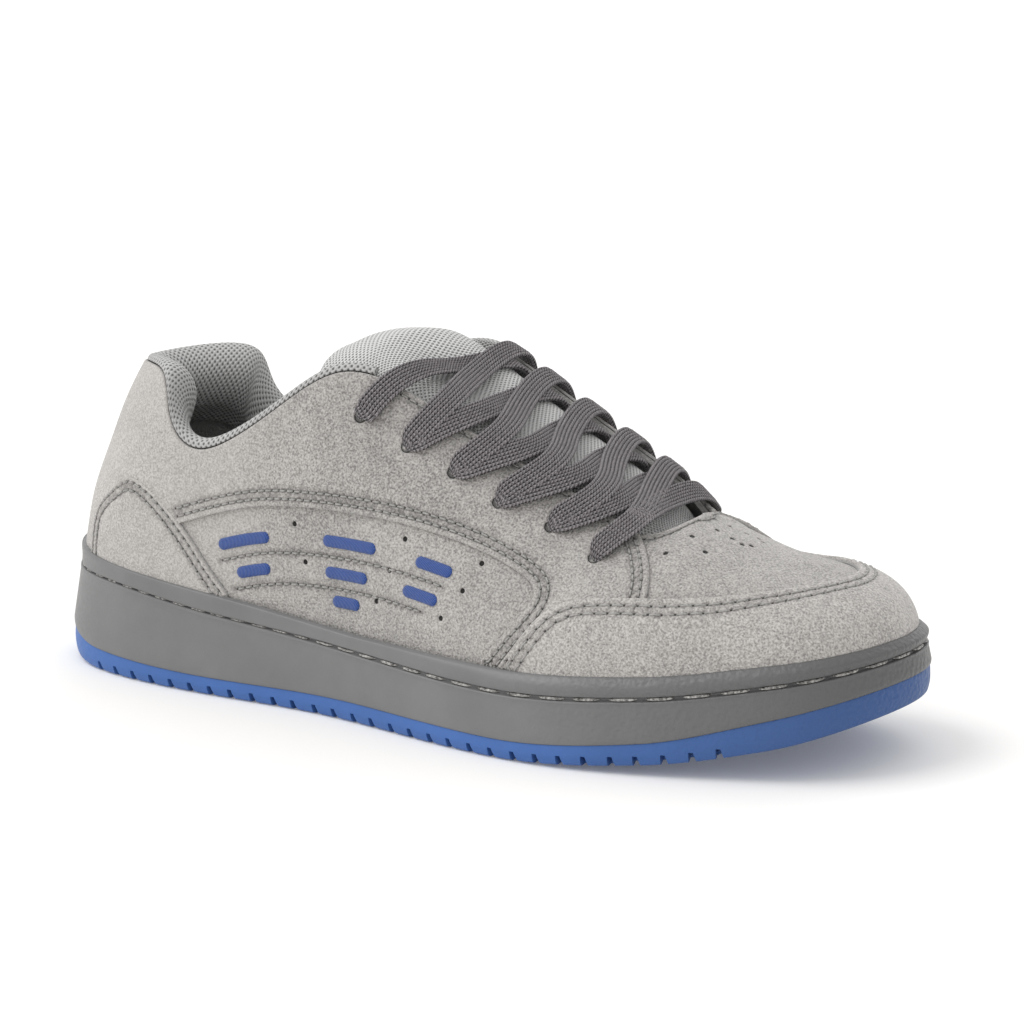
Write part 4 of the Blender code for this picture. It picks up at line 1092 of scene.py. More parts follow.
def rubber_look(name, colour, roughness, pebble_from):
    """Moulded rubber: faint clouding, painted shade that darkens it towards the toe, and a pebbled skin ahead of
    a place along the shoe.
    """
    look, tree, shader = new_look(name, roughness, Specular_IOR_Level=0.4)
    where = own_place(tree)
    cloud = noise(tree, where, 55.0, 3.0)
    fine = noise(tree, where, 900.0, 2.0)
    tone = blend(tree, spread(tree, cloud, 0.3, 0.7), dimmed(colour, 0.93), dimmed(colour, 1.06))
    ahead = add(tree, "SeparateXYZ", {0: where}).outputs["X"]
    # painted shade: the rubber darkens towards the toe, which faces away from the key light
    tone = blend(tree, spread(tree, ahead, 0.05, 0.14), tone, dimmed(colour, 0.6))
    painted(tree, shader, tone)
    mask = spread(tree, ahead, (pebble_from - 25.0) * MM, (pebble_from + 25.0) * MM, 0.12, 1.0)
    pebble = add(tree, "TexVoronoi", {"Vector": where, "Scale": 620.0}, feature="SMOOTH_F1").outputs["Distance"]
    height = sums(tree, "MULTIPLY", sums(tree, "ADD", pebble, sums(tree, "MULTIPLY", fine, 0.6)), mask)
    raised(tree, shader, height, 0.7, 0.6)
    rough = spread(tree, fine, 0.3, 0.7, roughness - 0.06, roughness + 0.08)
    tree.links.new(rough, shader.inputs["Roughness"])
    return look


def thread_look(name, colour, pitch, low=0.75, high=1.15):
    """Thread: fine twisted lines on the object's own coordinates."""
    look, tree, shader = new_look(name, 0.7, Sheen_Weight=0.2, Specular_IOR_Level=0.3)
    where = own_place(tree)
    fuzz = noise(tree, where, 1000.0 / pitch, 2.0)
    tone = blend(tree, spread(tree, fuzz, 0.3, 0.7), dimmed(colour, low), dimmed(colour, high))
    painted(tree, shader, tone)
    raised(tree, shader, fuzz, 0.4, 0.2)
    return look


def satin_look(name, colour):
    """Satin embroidery: close threads laid across each bar."""
    look, tree, shader = new_look(name, 0.55, Sheen_Weight=0.3, Specular_IOR_Level=0.4)
    along, across = map_parts(tree)
    fuzz = noise(tree, own_place(tree), 1400.0, 2.0)
    lean = sums(tree, "ADD", along, sums(tree, "MULTIPLY", across, 0.35))
    thread = sums(tree, "SINE", sums(tree, "MULTIPLY", lean, 2 * np.pi / 0.55))
    light = sums(tree, "ADD", spread(tree, thread, -1.0, 1.0, 0.1, 0.6), sums(tree, "MULTIPLY", fuzz, 0.5))
    painted(tree, shader, blend(tree, light, dimmed(colour, 0.45), dimmed(colour, 1.35)))
    raised(tree, shader, sums(tree, "ADD", thread, fuzz), 0.6, 0.2)
    return look


def joined(pieces, name):
    """Joins like pieces into one object."""
    bpy.ops.object.select_all(action="DESELECT")
    for piece in pieces:
        piece.select_set(True)
    bpy.context.view_layer.objects.active = pieces[0]
    if len(pieces) > 1:
        bpy.ops.object.join()
    pieces[0].name = pieces[0].data.name = name
    return pieces[0]


def needles(rows, pitch):
    """Needle holes of stitch rows, as walk positions."""
    return np.vstack([evened(row, pitch) for row in rows])


def quarter_outline():
    """The quarter's outline on the chart, edge by edge, against the clock."""
    a, b = EDGES[LATERAL], {name: on_side(line, MEDIAL) for name, line in EDGES[MEDIAL].items()}
    return [
        (a["leg"], PLAIN), (a["arch"], SOFT), (a["fin"], PLAIN), (a["heel"], PLAIN),
        (b["heel"], PLAIN), (b["fin"], PLAIN), (b["arch"], SOFT), (b["leg"], PLAIN),
        (b["guard"], PLAIN), (b["front"], SOFT), (b["top"], SOFT),
        (a["top"], SOFT), (a["front"], SOFT), (a["guard"], PLAIN),
    ]


def upper_outline():
    """The upper's outline on the chart, slit along the toe and the middle of the vamp."""
    seam = level_line(UPPER_FOOT, 1.0, 0.0, 0.02)[:, 0]
    return [
        (level_line(0.0, ROUND, UPPER_FOOT), PLAIN),
        (np.column_stack([np.full(len(seam), float(ROUND)), seam]), SEAMED),
        (level_line(ROUND, ROUND - RIDGE_END, 1.0), SEAMED),
        (level_line(ROUND - RIDGE_END, RIDGE_END, 1.0), SOFT),
        (level_line(RIDGE_END, 0.0, 1.0), SEAMED),
        (np.column_stack([np.zeros(len(seam)), seam[::-1]]), SEAMED),
    ]


def saddle(k, w, lateral, medial, crest):
    """The arch over the throat at a rib position: from lace hole to lace hole, w from 0 to 1 across.

    lateral and medial are offsets from the form at the holes and edges, crest one at the middle.
    """
    heights = np.array(EYELETS)[:, (1, 3)].mean(axis=0)
    outer = form([k] * 2, [heights[0], 1.0], LATERAL, lateral)[0]
    inner = form([k] * 2, [1.0, heights[1]], MEDIAL, medial)[0]
    edges = form([k], [1.0], LATERAL)[0] + form([k], [1.0], MEDIAL)[0]
    middle = 0.5 * edges + (0, 0, THROAT_RISE + crest)
    return spline(w, ACROSS, np.vstack([outer, middle, inner]))


def eased(x):
    """A soft step from 0 to 1."""
    x = np.clip(x, 0.0, 1.0)
    return x * x * (3 - 2 * x)


def growing(x, base, more, start, run):
    """A value that grows from its base along x."""
    return base + more * eased((x - start) / run)


def strap_path(lateral, medial, under):
    """Middle line of a strap from inside one lace hole to inside the other, and its wide direction."""
    w = np.linspace(0.0, 0.88 if under else 1.0, 45)
    start, end = EYELETS[lateral][0], EYELETS[medial][2]
    swing = LOWER_SWING if under else UPPER_SWING
    over = (start + swing[0], end + swing[1])
    k = spline(w, ACROSS, (start, over[0], np.mean(over), over[1], end))
    outer = LACE_LIFT + (0 if under else LACE_STEP) * np.sin(np.pi * w) ** 0.5
    inner, crest = (LOWER_TUCK, LACE_LIFT) if under else (LACE_LIFT, LACE_LIFT + LACE_STEP)
    centre, aside = (np.array([saddle(a + back, [v], o, inner, crest)[0] for a, v, o in zip(k, w, outer)])
                     for back in (0.0, 0.1))
    tangent = unit(np.gradient(centre, axis=0))
    wide = aside - centre
    wide = unit(wide - (wide * tangent).sum(1)[:, None] * tangent)
    line, sides = list(centre[2:]), list(wide[2:])
    ends = [(0, LATERAL, EYELETS[lateral][:2])]
    if not under:
        line, sides = line[:-2], sides[:-2]
        ends.append((-1, MEDIAL, EYELETS[medial][2:]))
    for end, side, row in ends:
        (p,), (n,) = form([row[0]], [row[1]], side)
        ahead = unit(centre[3] - centre[0] if end == 0 else centre[-4] - centre[-1])
        dive = [p + n * out + ahead * on for out, on in LACE_DIVE]
        line = dive + line if end == 0 else line + dive[::-1]
        sides = [sides[0]] * len(dive) + sides if end == 0 else sides + [sides[-1]] * len(dive)
    line, sides = np.array(line), np.array(sides)
    run = lengths(line)
    even = np.linspace(0, run[-1], int(run[-1] / 0.9))
    return spline(even, run, line), unit(spline(even, run, sides)), even


def strap(name, lateral, medial, under, width, thick):
    """One flat woven strap: narrow and round in the holes, wide and ribbed between them."""
    line, wide, run = strap_path(lateral, medial, under)
    tangent = unit(np.gradient(line, axis=0))
    wide = unit(wide - (wide * tangent).sum(1)[:, None] * tangent)
    out = np.cross(tangent, wide)
    out *= np.sign(out[len(out) // 2, 2])
    from_hole = run if under else np.minimum(run, run[-1] - run)
    open_up = eased((from_hole - LACE_NARROW) / LACE_OPENING)
    half = 0.5 * width * (0.5 + 0.5 * open_up)
    depth = 0.5 * thick * (1.5 - 0.5 * open_up)
    top = np.linspace(-1, 1, 6 * LACE_RIBS + 1)
    bottom = np.linspace(1, -1, 15)[1:]
    y = np.concatenate([top, bottom])
    body = np.sqrt(np.clip(1 - np.abs(y) ** 7, 0, 1)) * np.r_[np.ones(len(top)), -np.ones(len(bottom))]
    weave = np.zeros(len(y))
    weave[:len(top)] = -YARN_RISE * np.cos(LACE_RIBS * np.pi * (top + 1)) * (1 - np.abs(top) ** 9)
    height = body * depth[:, None] + weave * (0.4 + 0.6 * open_up[:, None])
    height = height - (1 - open_up)[:, None] * 0.9 * y**2
    points = line[:, None] + wide[:, None] * (y * half[:, None])[..., None] + out[:, None] * height[..., None]
    ends = [np.repeat(row.mean(0)[None], len(y), 0) for row in (points[0], points[-1])]
    points = np.concatenate([ends[:1], points, ends[1:]])
    run = np.concatenate([run[:1], run, run[-1:]])
    return wrapped(name, points, mapped(run, (y + 1) * 0.5 * LACE_RIBS), CLOTH_ANGLE)


def tongue_rings():
    """Sections of the tongue from its tip under the vamp to its rounded top edge."""
    table = np.array([row[1:] for row in TONGUE])
    steps = np.linspace(0, len(TONGUE) - 1.0, 96)
    values = np.column_stack([monotone(steps, np.arange(len(TONGUE)), column) for column in table.T])
    w = np.linspace(TONGUE_EDGE, 1 - TONGUE_EDGE, 49)
    taper = np.clip(1 - (2 * np.abs(w - 0.5)) ** 3, 0.2, 1)[:, None]
    made = []
    for k, drop, thick, dx, dz, outer, inner in values:
        face = saddle(k, w, outer, inner, LACE_LIFT - LACE_HALF - drop) + (dx, 0, dz)
        inwards = unit(np.cross(np.gradient(face, axis=0), (1.0, 0, 0)))
        inwards *= np.where(inwards[:, 2:] > 0, -1, 1)
        back = face + inwards * thick * taper
        made.append((face, back))
    faces, backs = np.array([m[0] for m in made]), np.array([m[1] for m in made])
    middle, half = 0.5 * (faces + backs), 0.5 * (faces - backs)
    ahead = unit(middle[-1] - middle[-4])
    turns = np.linspace(0, np.pi / 2, 8)[1:, None, None]
    middle = np.concatenate([middle[:1], middle, middle[-1:] + ahead * (TONGUE_ROLL * np.sin(turns))])
    half = np.concatenate([half[:1] * 0, half, half[-1:] * np.cos(turns)])
    return middle + half, middle - half


def closed_section(front, back):
    """A grid of closed sections from their fronts and backs, with its own map in millimetres."""
    points = np.concatenate([front, back[:, ::-1], front[:, :1]], axis=1)
    along = lengths(points[:, front.shape[1] // 2])
    across = lengths(points[len(points) // 2])
    return points, mapped(along, across)


def lining_grid():
    """Dense sections of the collar roll, round the heel from lace hole to lace hole."""
    k = np.linspace(LINING_START + 0.1, HEEL, 111)
    halves = []
    for side in SIDES:
        top, n = form(k, 1.0, side)
        low, _ = form(k, 0.97, side)
        up = unit(top - low)
        a, _, _, d = ribs(k, side)
        size = np.linalg.norm(d - a, axis=1)
        full = LINING_THIN + (1 - LINING_THIN) * eased((k - LINING_START) / LINING_RUN)
        full += (LINING_HEEL - 1) * eased((k - HEEL_FROM) / HEEL_RUN)
        knots = []
        for down, inwards in LINING:
            depth = min(inwards, LINING_BACK) + max(inwards - LINING_BACK, 0.0) * full
            if down > 0:
                knots.append(form(k, 1 - down / size / 1.08, side, -depth)[0])
            else:
                knots.append(top - up * down - n * depth[:, None])
        knots = np.array(knots)
        wrap = np.concatenate([knots[-3:], knots, knots[:4]])
        where = np.linspace(3, 3 + len(knots), 73)
        section = spline(where, np.arange(len(wrap)), wrap.reshape(len(wrap), -1))
        halves.append(section.reshape(len(where), len(k), 3).transpose(1, 0, 2))
    grid = np.concatenate([halves[0], halves[1][-2::-1]])
    ends = [np.repeat(row[:-1].mean(0)[None], grid.shape[1], 0) for row in (grid[0], grid[-1])]
    caps = [0.5 * (ends[0] + grid[0]), 0.5 * (ends[1] + grid[-1])]
    grid = np.concatenate([[ends[0], caps[0]], grid, [caps[1], ends[1]]])
    along = lengths(grid[:, 12])
    across = lengths(grid[len(grid) // 2])
    return grid, mapped(along, across)


LOOP_WALK = np.linspace(0, ROUND, 561)


def sole_ring(lean, inset, column, add=0.0):
    """A dense ring at an inset from the outline, with a part of the wall's lean, at a sole height."""
    k, sides = walk(LOOP_WALK)
    k[-1] = 0.0
    points = np.empty((len(k), 3))
    for side in SIDES:
        pick = sides == side
        x = foot(k[pick], side, 0.0)[0][:, 0]
        p, _ = foot(k[pick], side, inset - lean * sole_height(x, LEAN))
        points[pick] = np.column_stack([p, sole_height(p[:, 0], column) + add])
    points[-1] = points[0]
    return points


def run_rings(rows, count):
    """Rings through a run of rings, smooth across them."""
    rows = np.array(rows)
    steps = np.arange(len(rows))
    fine = spline(np.linspace(0, steps[-1], count), steps, rows.reshape(len(rows), -1))
    return fine.reshape(count, *rows.shape[1:])


def between(first, second, count):
    """Rings evenly between two, the second left out."""
    part = np.linspace(0, 1, count, endpoint=False)[:, None, None]
    return first + (second - first) * part


def spine_ring(ring, part):
    """The ring drawn in towards the middle line of the sole."""
    mirror = ring[::-1]
    return ring + (0.5 * (ring + mirror) - ring) * part


def ring_piece(name, rows):
    """A closed piece of the sole from groups of dense rings."""
    rows = np.concatenate([np.array(group).reshape(-1, *LOOP_WALK.shape, 3) for group in rows])
    along = lengths(rows[len(rows) // 2])
    across = lengths(rows[:, 100])
    return wrapped(name, rows, mapped(along, across).swapaxes(0, 1), RUBBER_ANGLE)


# Embroidered bars in the window: below the arch, middle along the shoe, length
SIDE_BARS = (
    (10.0, -66.0, 20.0), (20.0, -62.0, 13.0), (10.0, -25.0, 21.0), (20.0, -26.0, 17.0), (29.0, -26.0, 11.0),
    (10.0, 8.0, 14.0), (20.0, 4.0, 14.0),
)


def side_bar(name, side, below, x, size, width):
    """One satin bar with round ends, laid on the upper along the arch."""
    line = beside(ARCHES[side], -below)
    points = surface(line[:, 0], line[:, 1])[0]
    run = lengths(points)
    order = np.argsort(points[:, 0])
    middle = np.interp(x, points[order, 0], run[order])
    along = np.linspace(-0.5, 0.5, 41) * size
    spots = np.column_stack([np.interp(middle + along, run, column) for column in line.T])
    centre, normal = surface(spots[:, 0], spots[:, 1], UPPER_FACE)
    side_way = np.cross(unit(np.gradient(centre, axis=0)), normal)
    past = np.clip((np.abs(along) - (size - width) / 2) / (width / 2), 0, 1)
    half = width / 2 * np.sqrt(1 - past**2)
    top = np.linspace(-1, 1, 15)
    y = np.concatenate([top, np.linspace(1, -1, 5)[1:]])
    rise = np.concatenate([0.12 + 0.75 * np.sqrt(1 - top**2), np.full(4, -0.3)])
    rise[14] = rise[-1] = 0.1
    height = rise * (0.25 + 0.75 * half / (width / 2))[:, None]
    grid = centre[:, None] + side_way[:, None] * (y * half[:, None])[..., None]
    grid += normal[:, None] * height[..., None]
    return wrapped(name, grid, mapped(along + size, y * width / 2), CLOTH_ANGLE)


def notch_cutter():
    """Tapered cutters for the notches in the outsole's edge."""
    points, faces = [], []
    for i in range(NOTCH_COUNT):
        x = NOTCH_FIRST + i * NOTCH_PITCH
        for side in SIDES:
            edge, normals, _ = HALVES[side]
            j = int(np.argmin(np.abs(edge[:, 0] - x)))
            n = np.append(normals[j], 0.0)
            along = np.array((-n[1], n[0], 0.0))
            along *= np.sign(along[0])
            z = float(sole_height(edge[j, 0], GROUND))
            first = len(points)
            for depth in (NOTCH_OUT - NOTCH_DEPTH, NOTCH_OUT):
                for on, up in NOTCH_CORNERS:
                    points.append(np.append(edge[j], z + up) + n * depth + along * on)
            faces += [tuple(first + q for q in quad) for quad in (
                (0, 1, 2, 3), (7, 6, 5, 4), (0, 4, 5, 1), (1, 5, 6, 2), (2, 6, 7, 3), (3, 7, 4, 0))]
    return welded(arrayed("notch_cutter", points, faces), FINE_WELD)


def cut_away(piece, cutter):
    """Cuts one closed piece out of another."""
    active(piece)
    cut = piece.modifiers.new("cut", "BOOLEAN")
    cut.object, cut.operation, cut.solver = cutter, "DIFFERENCE", "MANIFOLD"
    bpy.ops.object.modifier_apply(modifier=cut.name)
    bpy.data.objects.remove(cutter)
    return piece


def colour_property(name, description, default):
    return FloatVectorProperty(name=name, description=description, default=default, size=3, subtype="COLOR",
                               min=0.0, max=1.0)


def length_property(name, description, millimetres):
    return FloatProperty(name=name, description=description, default=millimetres * MM, unit="LENGTH")


class SneakerColours(PropertyGroup):
    """Colours of the sneaker's materials."""
    suede: colour_property("Suede", "Nap of the upper and its panels", (0.378, 0.362, 0.346))
    thread: colour_property("Thread", "Stitches on the suede", (0.36, 0.35, 0.335))
    collar: colour_property("Collar mesh", "Padded collar and lining", (0.455, 0.453, 0.446))
    tongue: colour_property("Tongue mesh", "Padded tongue", (0.66, 0.658, 0.65))
    lace: colour_property("Laces", "Flat woven laces", (0.150, 0.138, 0.143))
    cup: colour_property("Cup", "Moulded cup of the sole", (0.178, 0.177, 0.178))
    outsole: colour_property("Outsole", "Outsole rubber", (0.054, 0.143, 0.405))
    embroidery: colour_property("Embroidery", "Bars in the side window", (0.020, 0.070, 0.290))
    footbed: colour_property("Footbed", "Cloth of the insole", (0.23, 0.23, 0.23))


class SneakerSizes(PropertyGroup):
    """Sizes of the sneaker's finer work."""
    stitch: length_property("Stitch length", "Pitch of the seams on quarter and heel panels", 3.0)
    guard_stitch: length_property("Guard stitch length", "Pitch of the toe guard's seams", 4.2)
    thread: length_property("Thread", "Thickness of the sewing thread", 0.6)
    lace_width: length_property("Lace width", "Flat width between the holes", 8.4)
    lace_thick: length_property("Lace thickness", "Thickness between the holes", 1.5)
    lace_hole: length_property("Lace hole", "Radius of the punched lace holes", 2.0)
    bar_width: length_property("Bar width", "Width of the embroidered bars", 3.8)
    sole_stitch: length_property("Sole stitch length", "Pitch of the seam in the cup's groove", 6.2)


def sizes():
    """The sizes group with lengths in millimetres."""
    group = bpy.context.scene.sneaker_sizes
    return {key: getattr(group, key) / MM for key in SneakerSizes.__annotations__}


def finish(name):
    """A material by its name, made the first time that it is asked for."""
    label = name + "_finish"
    made = bpy.data.materials.get(label)
    if made:
        return made
    colours = bpy.context.scene.sneaker_colours
    colour = tuple(getattr(colours, {"sole_thread": "thread", "guard": "suede"}.get(name, name)))
    return {
        "suede": lambda: suede_look(label, colour, tuple(colours.collar)),
        "guard": lambda: suede_look(label, dimmed(colour, 1.1), tuple(colours.collar)),
        "thread": lambda: thread_look(label, colour, 0.7),
        "sole_thread": lambda: thread_look(label, dimmed(colour, 0.8), 0.9, 0.15, 1.9),
        "collar": lambda: mesh_look(label, colour, 2.0, 0.22, 0.3),
        "tongue": lambda: mesh_look(label, colour, 1.45, 0.2, 0.3),
        "lace": lambda: lace_look(label, colour),
        "cup": lambda: rubber_look(label, colour, 0.44, 60.0),
        "outsole": lambda: rubber_look(label, colour, 0.5, 90.0),
        "embroidery": lambda: satin_look(label, colour),
        "footbed": lambda: mesh_look(label, colour, 1.3, 0.45, 0.2),
    }[name]()


class PieceOperator:
    """What every piece's operator shares."""
    bl_options = {"REGISTER", "UNDO"}

    def execute(self, context):
        self.build(sizes())
        return {"FINISHED"}


class SNEAKER_OT_outsole(PieceOperator, Operator):
    """Outsole with notched edge and a shallow zigzag tread"""
    bl_idname = "sneaker.outsole"
    bl_label = "Outsole"

    def build(self, size):
        edge = sole_ring(0, -3.0, GROUND)
        inside = np.linspace(1, 0, 26)[:-1]
        tread = np.stack([spine_ring(edge, part) for part in inside])
        x = tread[..., 0] + TREAD_SWING * np.abs((tread[..., 1] / TREAD_TURN) % 2 - 1)
        wave = 2.2 * np.cos(2 * np.pi * x / TREAD_PITCH) - 0.6
        tread[..., 2] += TREAD_DEPTH * eased(wave) * eased(inside[:, None] / 0.12)
        seam = sole_ring(0, -0.5, SEAM, -0.12)
        wall = run_rings([sole_ring(0, -0.75, GROUND, 1.6), 0.5 * (
            sole_ring(0, -0.25, GROUND) + sole_ring(0, -0.25, SEAM)), sole_ring(0, -0.4, SEAM, -0.5)], 9)
        rows = [
            tread, run_rings([edge, sole_ring(0, -1.7, GROUND, 0.35), sole_ring(0, -1.0, GROUND, 0.95)], 5), wall,
            seam, sole_ring(0, -1.2, SEAM, -0.05), spine_ring(seam, 1.0),
        ]
        piece = smoothed(cut_away(ring_piece("outsole_blue", rows), notch_cutter()), RUBBER_ANGLE)
        carried(piece, finish("outsole"), "sole_rubber", "outsole")


class SNEAKER_OT_cupsole(PieceOperator, Operator):
    """Cup with wall, stitched groove, rolled lip and floor"""
    bl_idname = "sneaker.cupsole"
    bl_label = "Cupsole"

    def build(self, size):
        base = sole_ring(0, -0.55, SEAM, -0.08)
        foot_edge = run_rings([base, sole_ring(0, -0.2, SEAM, 0.1), sole_ring(0, -0.05, SEAM, 0.6)], 5)
        section = [sole_ring(1, inset, GROOVE, up) for inset, up in GROOVE_SECTION]
        low, high = sole_ring(0, 0.0, SEAM, 1.4), section[0]
        groove = run_rings(section, 22)
        shut = GROOVE_SHUT * eased((SHUT_FROM - high[:, 0]) / SHUT_RUN)
        middle = sole_ring(1, 0.0, GROOVE, 0.0)[:, 2]
        deep = np.abs(groove[..., 2] - middle) < 0.9
        groove[..., 2] -= np.where(deep, shut * (groove[..., 2] - middle), 0.0)
        lips = [run_rings([
            groove[-1], 0.5 * (sole_ring(0.9, bulge, GROOVE, 1.3) + sole_ring(0.9, bulge, LIP, -1.0)),
            sole_ring(0.6, LIP_SHOULDER, LIP, -drop), sole_ring(0.5, LIP_SHOULDER - 1.1, LIP, -0.2 * drop),
            sole_ring(0.4, -3.8, LIP, 0.05), sole_ring(0.0, CUP_INNER, LIP, -0.6)], 22)
            for bulge, drop in LIP_SECTIONS]
        lip = lips[0] + (lips[1] - lips[0]) * eased((groove[-1][:, :1] - LIP_FROM) / LIP_RUN)
        floor = sole_ring(0, CUP_INNER, FLOOR)
        rows = [
            spine_ring(base, 1.0), foot_edge, between(low, high, 8), groove[:-1], lip,
            between(lip[-1], floor, 4)[1:], floor, spine_ring(floor, 1.0),
        ]
        carried(ring_piece("cup_grey", rows), finish("cup"), "cup_rubber", "cupsole")

        path = sole_ring(1, -0.85, GROOVE, 0.0)
        run = lengths(path)
        pitch = size["sole_stitch"] * growing(path[:, 0], *SOLE_PITCH)
        weight = np.concatenate([[0.0], np.cumsum(np.diff(run) / pitch[1:])])
        start = np.arange(int(weight[-1]))[:, None] * weight[-1] / int(weight[-1])
        where = np.interp(start + 0.12 + 0.76 * np.linspace(0, 1, 9), weight, run)
        middle = np.stack([np.interp(where % run[-1], run, column) for column in path.T], -1)
        out = unit(np.cross(np.gradient(middle, axis=1), (0.0, 0.0, 1.0)))
        out *= np.sign((out * (middle - (0, 0, 20.0))).sum((1, 2)))[:, None, None]
        part = np.abs(np.linspace(-1, 1, 9))
        middle += out * (0.1 - 0.9 * part**6)[:, None]
        girth = growing(middle[..., 0], *SOLE_GIRTH) * (1.0 - 0.4 * part**4)
        threads = arrayed("sole_stitches", *tubes(middle, out, girth))
        carried(welded(threads, FINE_WELD), finish("sole_thread"))


class SNEAKER_OT_insole(PieceOperator, Operator):
    """Insole with a rounded edge, covered with cloth"""
    bl_idname = "sneaker.insole"
    bl_label = "Insole"

    def build(self, size):
        base = sole_ring(0, INSOLE_EDGE, FLOOR, GAP)
        top = run_rings([
            sole_ring(0, INSOLE_EDGE, FLOOR, GAP + INSOLE_THICK - 1.5),
            sole_ring(0, INSOLE_EDGE - 0.4, FLOOR, GAP + INSOLE_THICK - 0.4),
            sole_ring(0, INSOLE_EDGE - 1.6, FLOOR, GAP + INSOLE_THICK)], 7)
        dish = [spine_ring(top[-1], part) - (0, 0, 1.2 * eased(part * 1.6)) for part in np.linspace(0, 1, 12)[1:]]
        rows = [spine_ring(base, 1.0), base, top, dish]
        carried(ring_piece("footbed", rows), finish("footbed"), "footbed", "insole")


class SNEAKER_OT_upper(PieceOperator, Operator):
    """Base of the upper: suede outside, cloth inside, with open lace holes and perforations"""
    bl_idname = "sneaker.upper"
    bl_label = "Upper"

    def build(self, size):
        holes = VAMP_HOLES + SIDE_HOLES
        both = [*holes, *((ROUND - k, t) for k, t in holes)]
        piece = panel(
            "upper_suede", upper_outline(), UPPER_FACE - UPPER_WALL, UPPER_WALL, LACE_HOLES,
            size["lace_hole"] + 0.2, needles(VAMP_ROWS + FIELD_ROWS, size["stitch"]), VAMP_ROWS + FIELD_ROWS,
            1.9, both)
        carried(welded(piece, SEAM_WELD), finish("suede"), "suede", "upper")


class SNEAKER_OT_quarter(PieceOperator, Operator):
    """Quarter panel from the eyestay round the heel, with its window and punched lace holes"""
    bl_idname = "sneaker.quarter"
    bl_label = "Quarter"

    def build(self, size):
        piece = panel("quarter_suede", quarter_outline(), PANEL_FACE, QUARTER_WALL, LACE_HOLES, size["lace_hole"],
                      needles(QUARTER_ROWS, size["stitch"]), QUARTER_ROWS)
        carried(piece, finish("suede"), "suede", "quarter")


class SNEAKER_OT_toe_guard(PieceOperator, Operator):
    """Toe guard round the front of the upper"""
    bl_idname = "sneaker.toe_guard"
    bl_label = "Toe guard"

    def build(self, size):
        foot_line = level_line(GUARD_RIM[-1, 0], GUARD_RIM[0, 0], PANEL_FOOT)
        piece = panel("guard_suede", [(foot_line, PLAIN), (GUARD_RIM, SOFT)], PANEL_FACE, GUARD_WALL,
                      pits=needles(GUARD_ROWS, size["guard_stitch"]), grooves=GUARD_ROWS)
        carried(piece, finish("guard"), "suede", "toe_guard")


class SNEAKER_OT_heel_fins(PieceOperator, Operator):
    """Heel panels on both sides"""
    bl_idname = "sneaker.heel_fins"
    bl_label = "Heel panels"

    def build(self, size):
        for side, node in ((LATERAL, "heel_fin_lateral"), (MEDIAL, "heel_fin_medial")):
            rim = FINS[side]
            foot_line = level_line(rim[-1, 0], rim[0, 0], PANEL_FOOT)
            piece = panel(node + "_suede", [(foot_line, PLAIN), (rim, SOFT)], PANEL_FACE, GUARD_WALL,
                          pits=needles(FIN_ROWS[side], size["stitch"]), grooves=FIN_ROWS[side])
            carried(piece, finish("suede"), "suede", node)


class SNEAKER_OT_stitches(PieceOperator, Operator):
    """Sewing threads on all panels"""
    bl_idname = "sneaker.stitches"
    bl_label = "Stitches"

    def build(self, size):
        fins = FIN_ROWS[LATERAL] + FIN_ROWS[MEDIAL]
        for name, rows, offset, pitch in (
                ("stitches_quarter", QUARTER_ROWS, PANEL_FACE + QUARTER_WALL, size["stitch"]),
                ("stitches_guard", GUARD_ROWS, PANEL_FACE + GUARD_WALL, size["guard_stitch"]),
                ("stitches_heel", fins, PANEL_FACE + GUARD_WALL, size["stitch"]),
                ("stitches_upper", VAMP_ROWS + FIELD_ROWS, UPPER_FACE, size["stitch"])):
            piece = stitches(name, rows, offset - 0.2, pitch, size["thread"])
            carried(welded(piece, FINE_WELD), finish("thread"))


class SNEAKER_OT_side_bars(PieceOperator, Operator):
    """Embroidered bars in the windows of both sides"""
    bl_idname = "sneaker.side_bars"
    bl_label = "Side embroidery"

    def build(self, size):
        for side, name in ((LATERAL, "embroidery_lateral"), (MEDIAL, "embroidery_medial")):
            bars = [side_bar(name, side, *row, size["bar_width"]) for row in SIDE_BARS]
            carried(joined(bars, name), finish("embroidery"))


class SNEAKER_OT_collar(PieceOperator, Operator):
    """Padded collar roll and lining"""
    bl_idname = "sneaker.collar"
    bl_label = "Collar"

    def build(self, size):
        piece = wrapped("collar_padding", *lining_grid(), CLOTH_ANGLE)
        carried(piece, finish("collar"), "mesh", "collar_lining")


class SNEAKER_OT_tongue(PieceOperator, Operator):
    """Padded mesh tongue"""
    bl_idname = "sneaker.tongue"
    bl_label = "Tongue"

    def build(self, size):
        piece = wrapped("tongue_mesh", *closed_section(*tongue_rings()), TONGUE_ANGLE)
        carried(piece, finish("tongue"), "mesh", "tongue")


class SNEAKER_OT_laces(PieceOperator, Operator):
    """Flat laces, straight and slanting across the throat, through every lace hole"""
    bl_idname = "sneaker.laces"
    bl_label = "Laces"

    def build(self, size):
        last = len(EYELETS) - 1
        pairs = [(i, i, True) for i in range(last)] + [(i + 1, i, False) for i in range(last)]
        pairs.append((last, last, False))
        straps = [strap("lace", *pair, size["lace_width"], size["lace_thick"]) for pair in pairs]
        carried(joined(straps, "laces_woven"), finish("lace"), "lace", "laces")


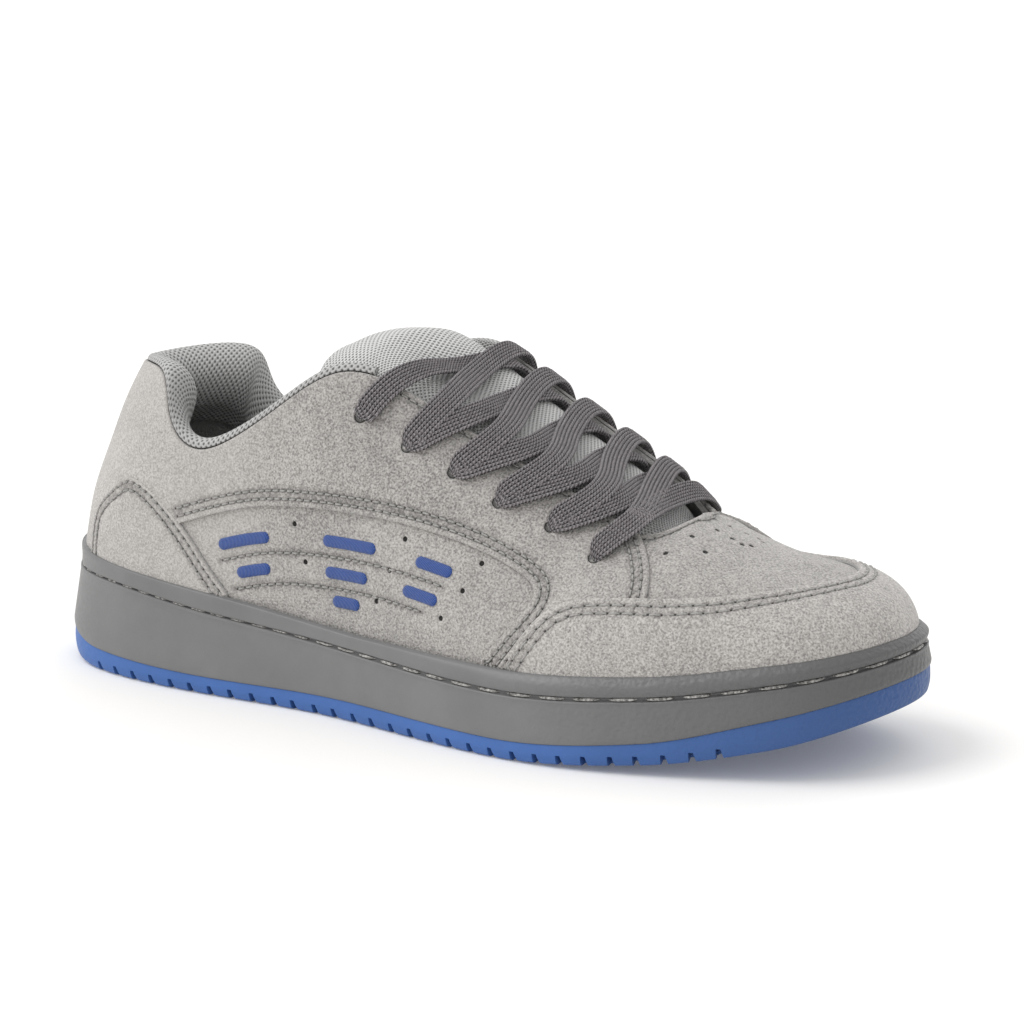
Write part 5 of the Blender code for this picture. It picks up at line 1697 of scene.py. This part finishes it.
class SNEAKER_OT_stage(PieceOperator, Operator):
    """Pale floor, soft light and the camera"""
    bl_idname = "sneaker.stage"
    bl_label = "Stage"

    def build(self, size):
        bpy.ops.object.select_all(action="DESELECT")
        bpy.ops.mesh.primitive_plane_add(size=16.0)
        floor = bpy.context.object
        floor.name = "studio_floor"
        look, _, shader = new_look("floor_white", 0.9, Specular_IOR_Level=0.1)
        shader.inputs["Base Color"].default_value = FLOOR_COLOUR
        shader.inputs["Emission Color"].default_value = WHITE
        shader.inputs["Emission Strength"].default_value = FLOOR_GLOW
        floor.data.materials.append(look)

        scene = bpy.context.scene
        scene.view_settings.view_transform = "Standard"
        scene.world = scene.world or bpy.data.worlds.new("studio")
        scene.world.use_nodes = True
        sky = scene.world.node_tree.nodes["Background"]
        sky.inputs["Color"].default_value = WHITE
        sky.inputs["Strength"].default_value = SKY_LIGHT
        for name, strength, soft, direction in LIGHTS:
            bpy.ops.object.light_add(type="SUN")
            lamp = bpy.context.object
            lamp.name = name
            lamp.data.energy, lamp.data.angle = strength, np.radians(soft)
            lamp.rotation_euler = Vector(direction).to_track_quat("Z", "Y").to_euler()

        turn, up = np.radians((CAMERA_ROUND, CAMERA_UP))
        away = Vector((np.sin(turn) * np.cos(up), -np.cos(turn) * np.cos(up), np.sin(up)))
        bpy.ops.object.camera_add(location=Vector(CAMERA_TARGET) + away * CAMERA_AWAY)
        camera = bpy.context.object
        camera.rotation_euler = away.to_track_quat("Z", "Y").to_euler()
        camera.data.lens, camera.data.sensor_width = LENS, SENSOR
        camera.data.shift_x, camera.data.shift_y = LENS_SHIFT
        camera.data.clip_end = 50.0
        scene.camera = camera


PIECES = (
    SNEAKER_OT_outsole, SNEAKER_OT_cupsole, SNEAKER_OT_insole, SNEAKER_OT_upper, SNEAKER_OT_quarter,
    SNEAKER_OT_toe_guard, SNEAKER_OT_heel_fins, SNEAKER_OT_stitches, SNEAKER_OT_side_bars, SNEAKER_OT_collar,
    SNEAKER_OT_tongue, SNEAKER_OT_laces, SNEAKER_OT_stage,
)


class SNEAKER_PT_sidebar(Panel):
    """Sizes, colours and pieces of the sneaker"""
    bl_idname = "SNEAKER_PT_sidebar"
    bl_label = "Suede sneaker"
    bl_space_type = "VIEW_3D"
    bl_region_type = "UI"
    bl_category = "Sneaker"

    def draw(self, context):
        layout = self.layout
        for title, group in (("Colours", context.scene.sneaker_colours), ("Sizes", context.scene.sneaker_sizes)):
            box = layout.box()
            box.label(text=title)
            for key in type(group).__annotations__:
                box.prop(group, key)
        column = layout.column(align=True)
        for operator in PIECES:
            column.operator(operator.bl_idname)


CLASSES = (SneakerColours, SneakerSizes, *PIECES, SNEAKER_PT_sidebar)


def register():
    for cls in CLASSES:
        bpy.utils.register_class(cls)
    bpy.types.Scene.sneaker_colours = PointerProperty(type=SneakerColours)
    bpy.types.Scene.sneaker_sizes = PointerProperty(type=SneakerSizes)


def unregister():
    del bpy.types.Scene.sneaker_sizes
    del bpy.types.Scene.sneaker_colours
    for cls in reversed(CLASSES):
        bpy.utils.unregister_class(cls)


def main():
    register()
    for operator in PIECES:
        getattr(bpy.ops.sneaker, operator.bl_idname.split(".")[1])()


if __name__ == "__main__":
    main()
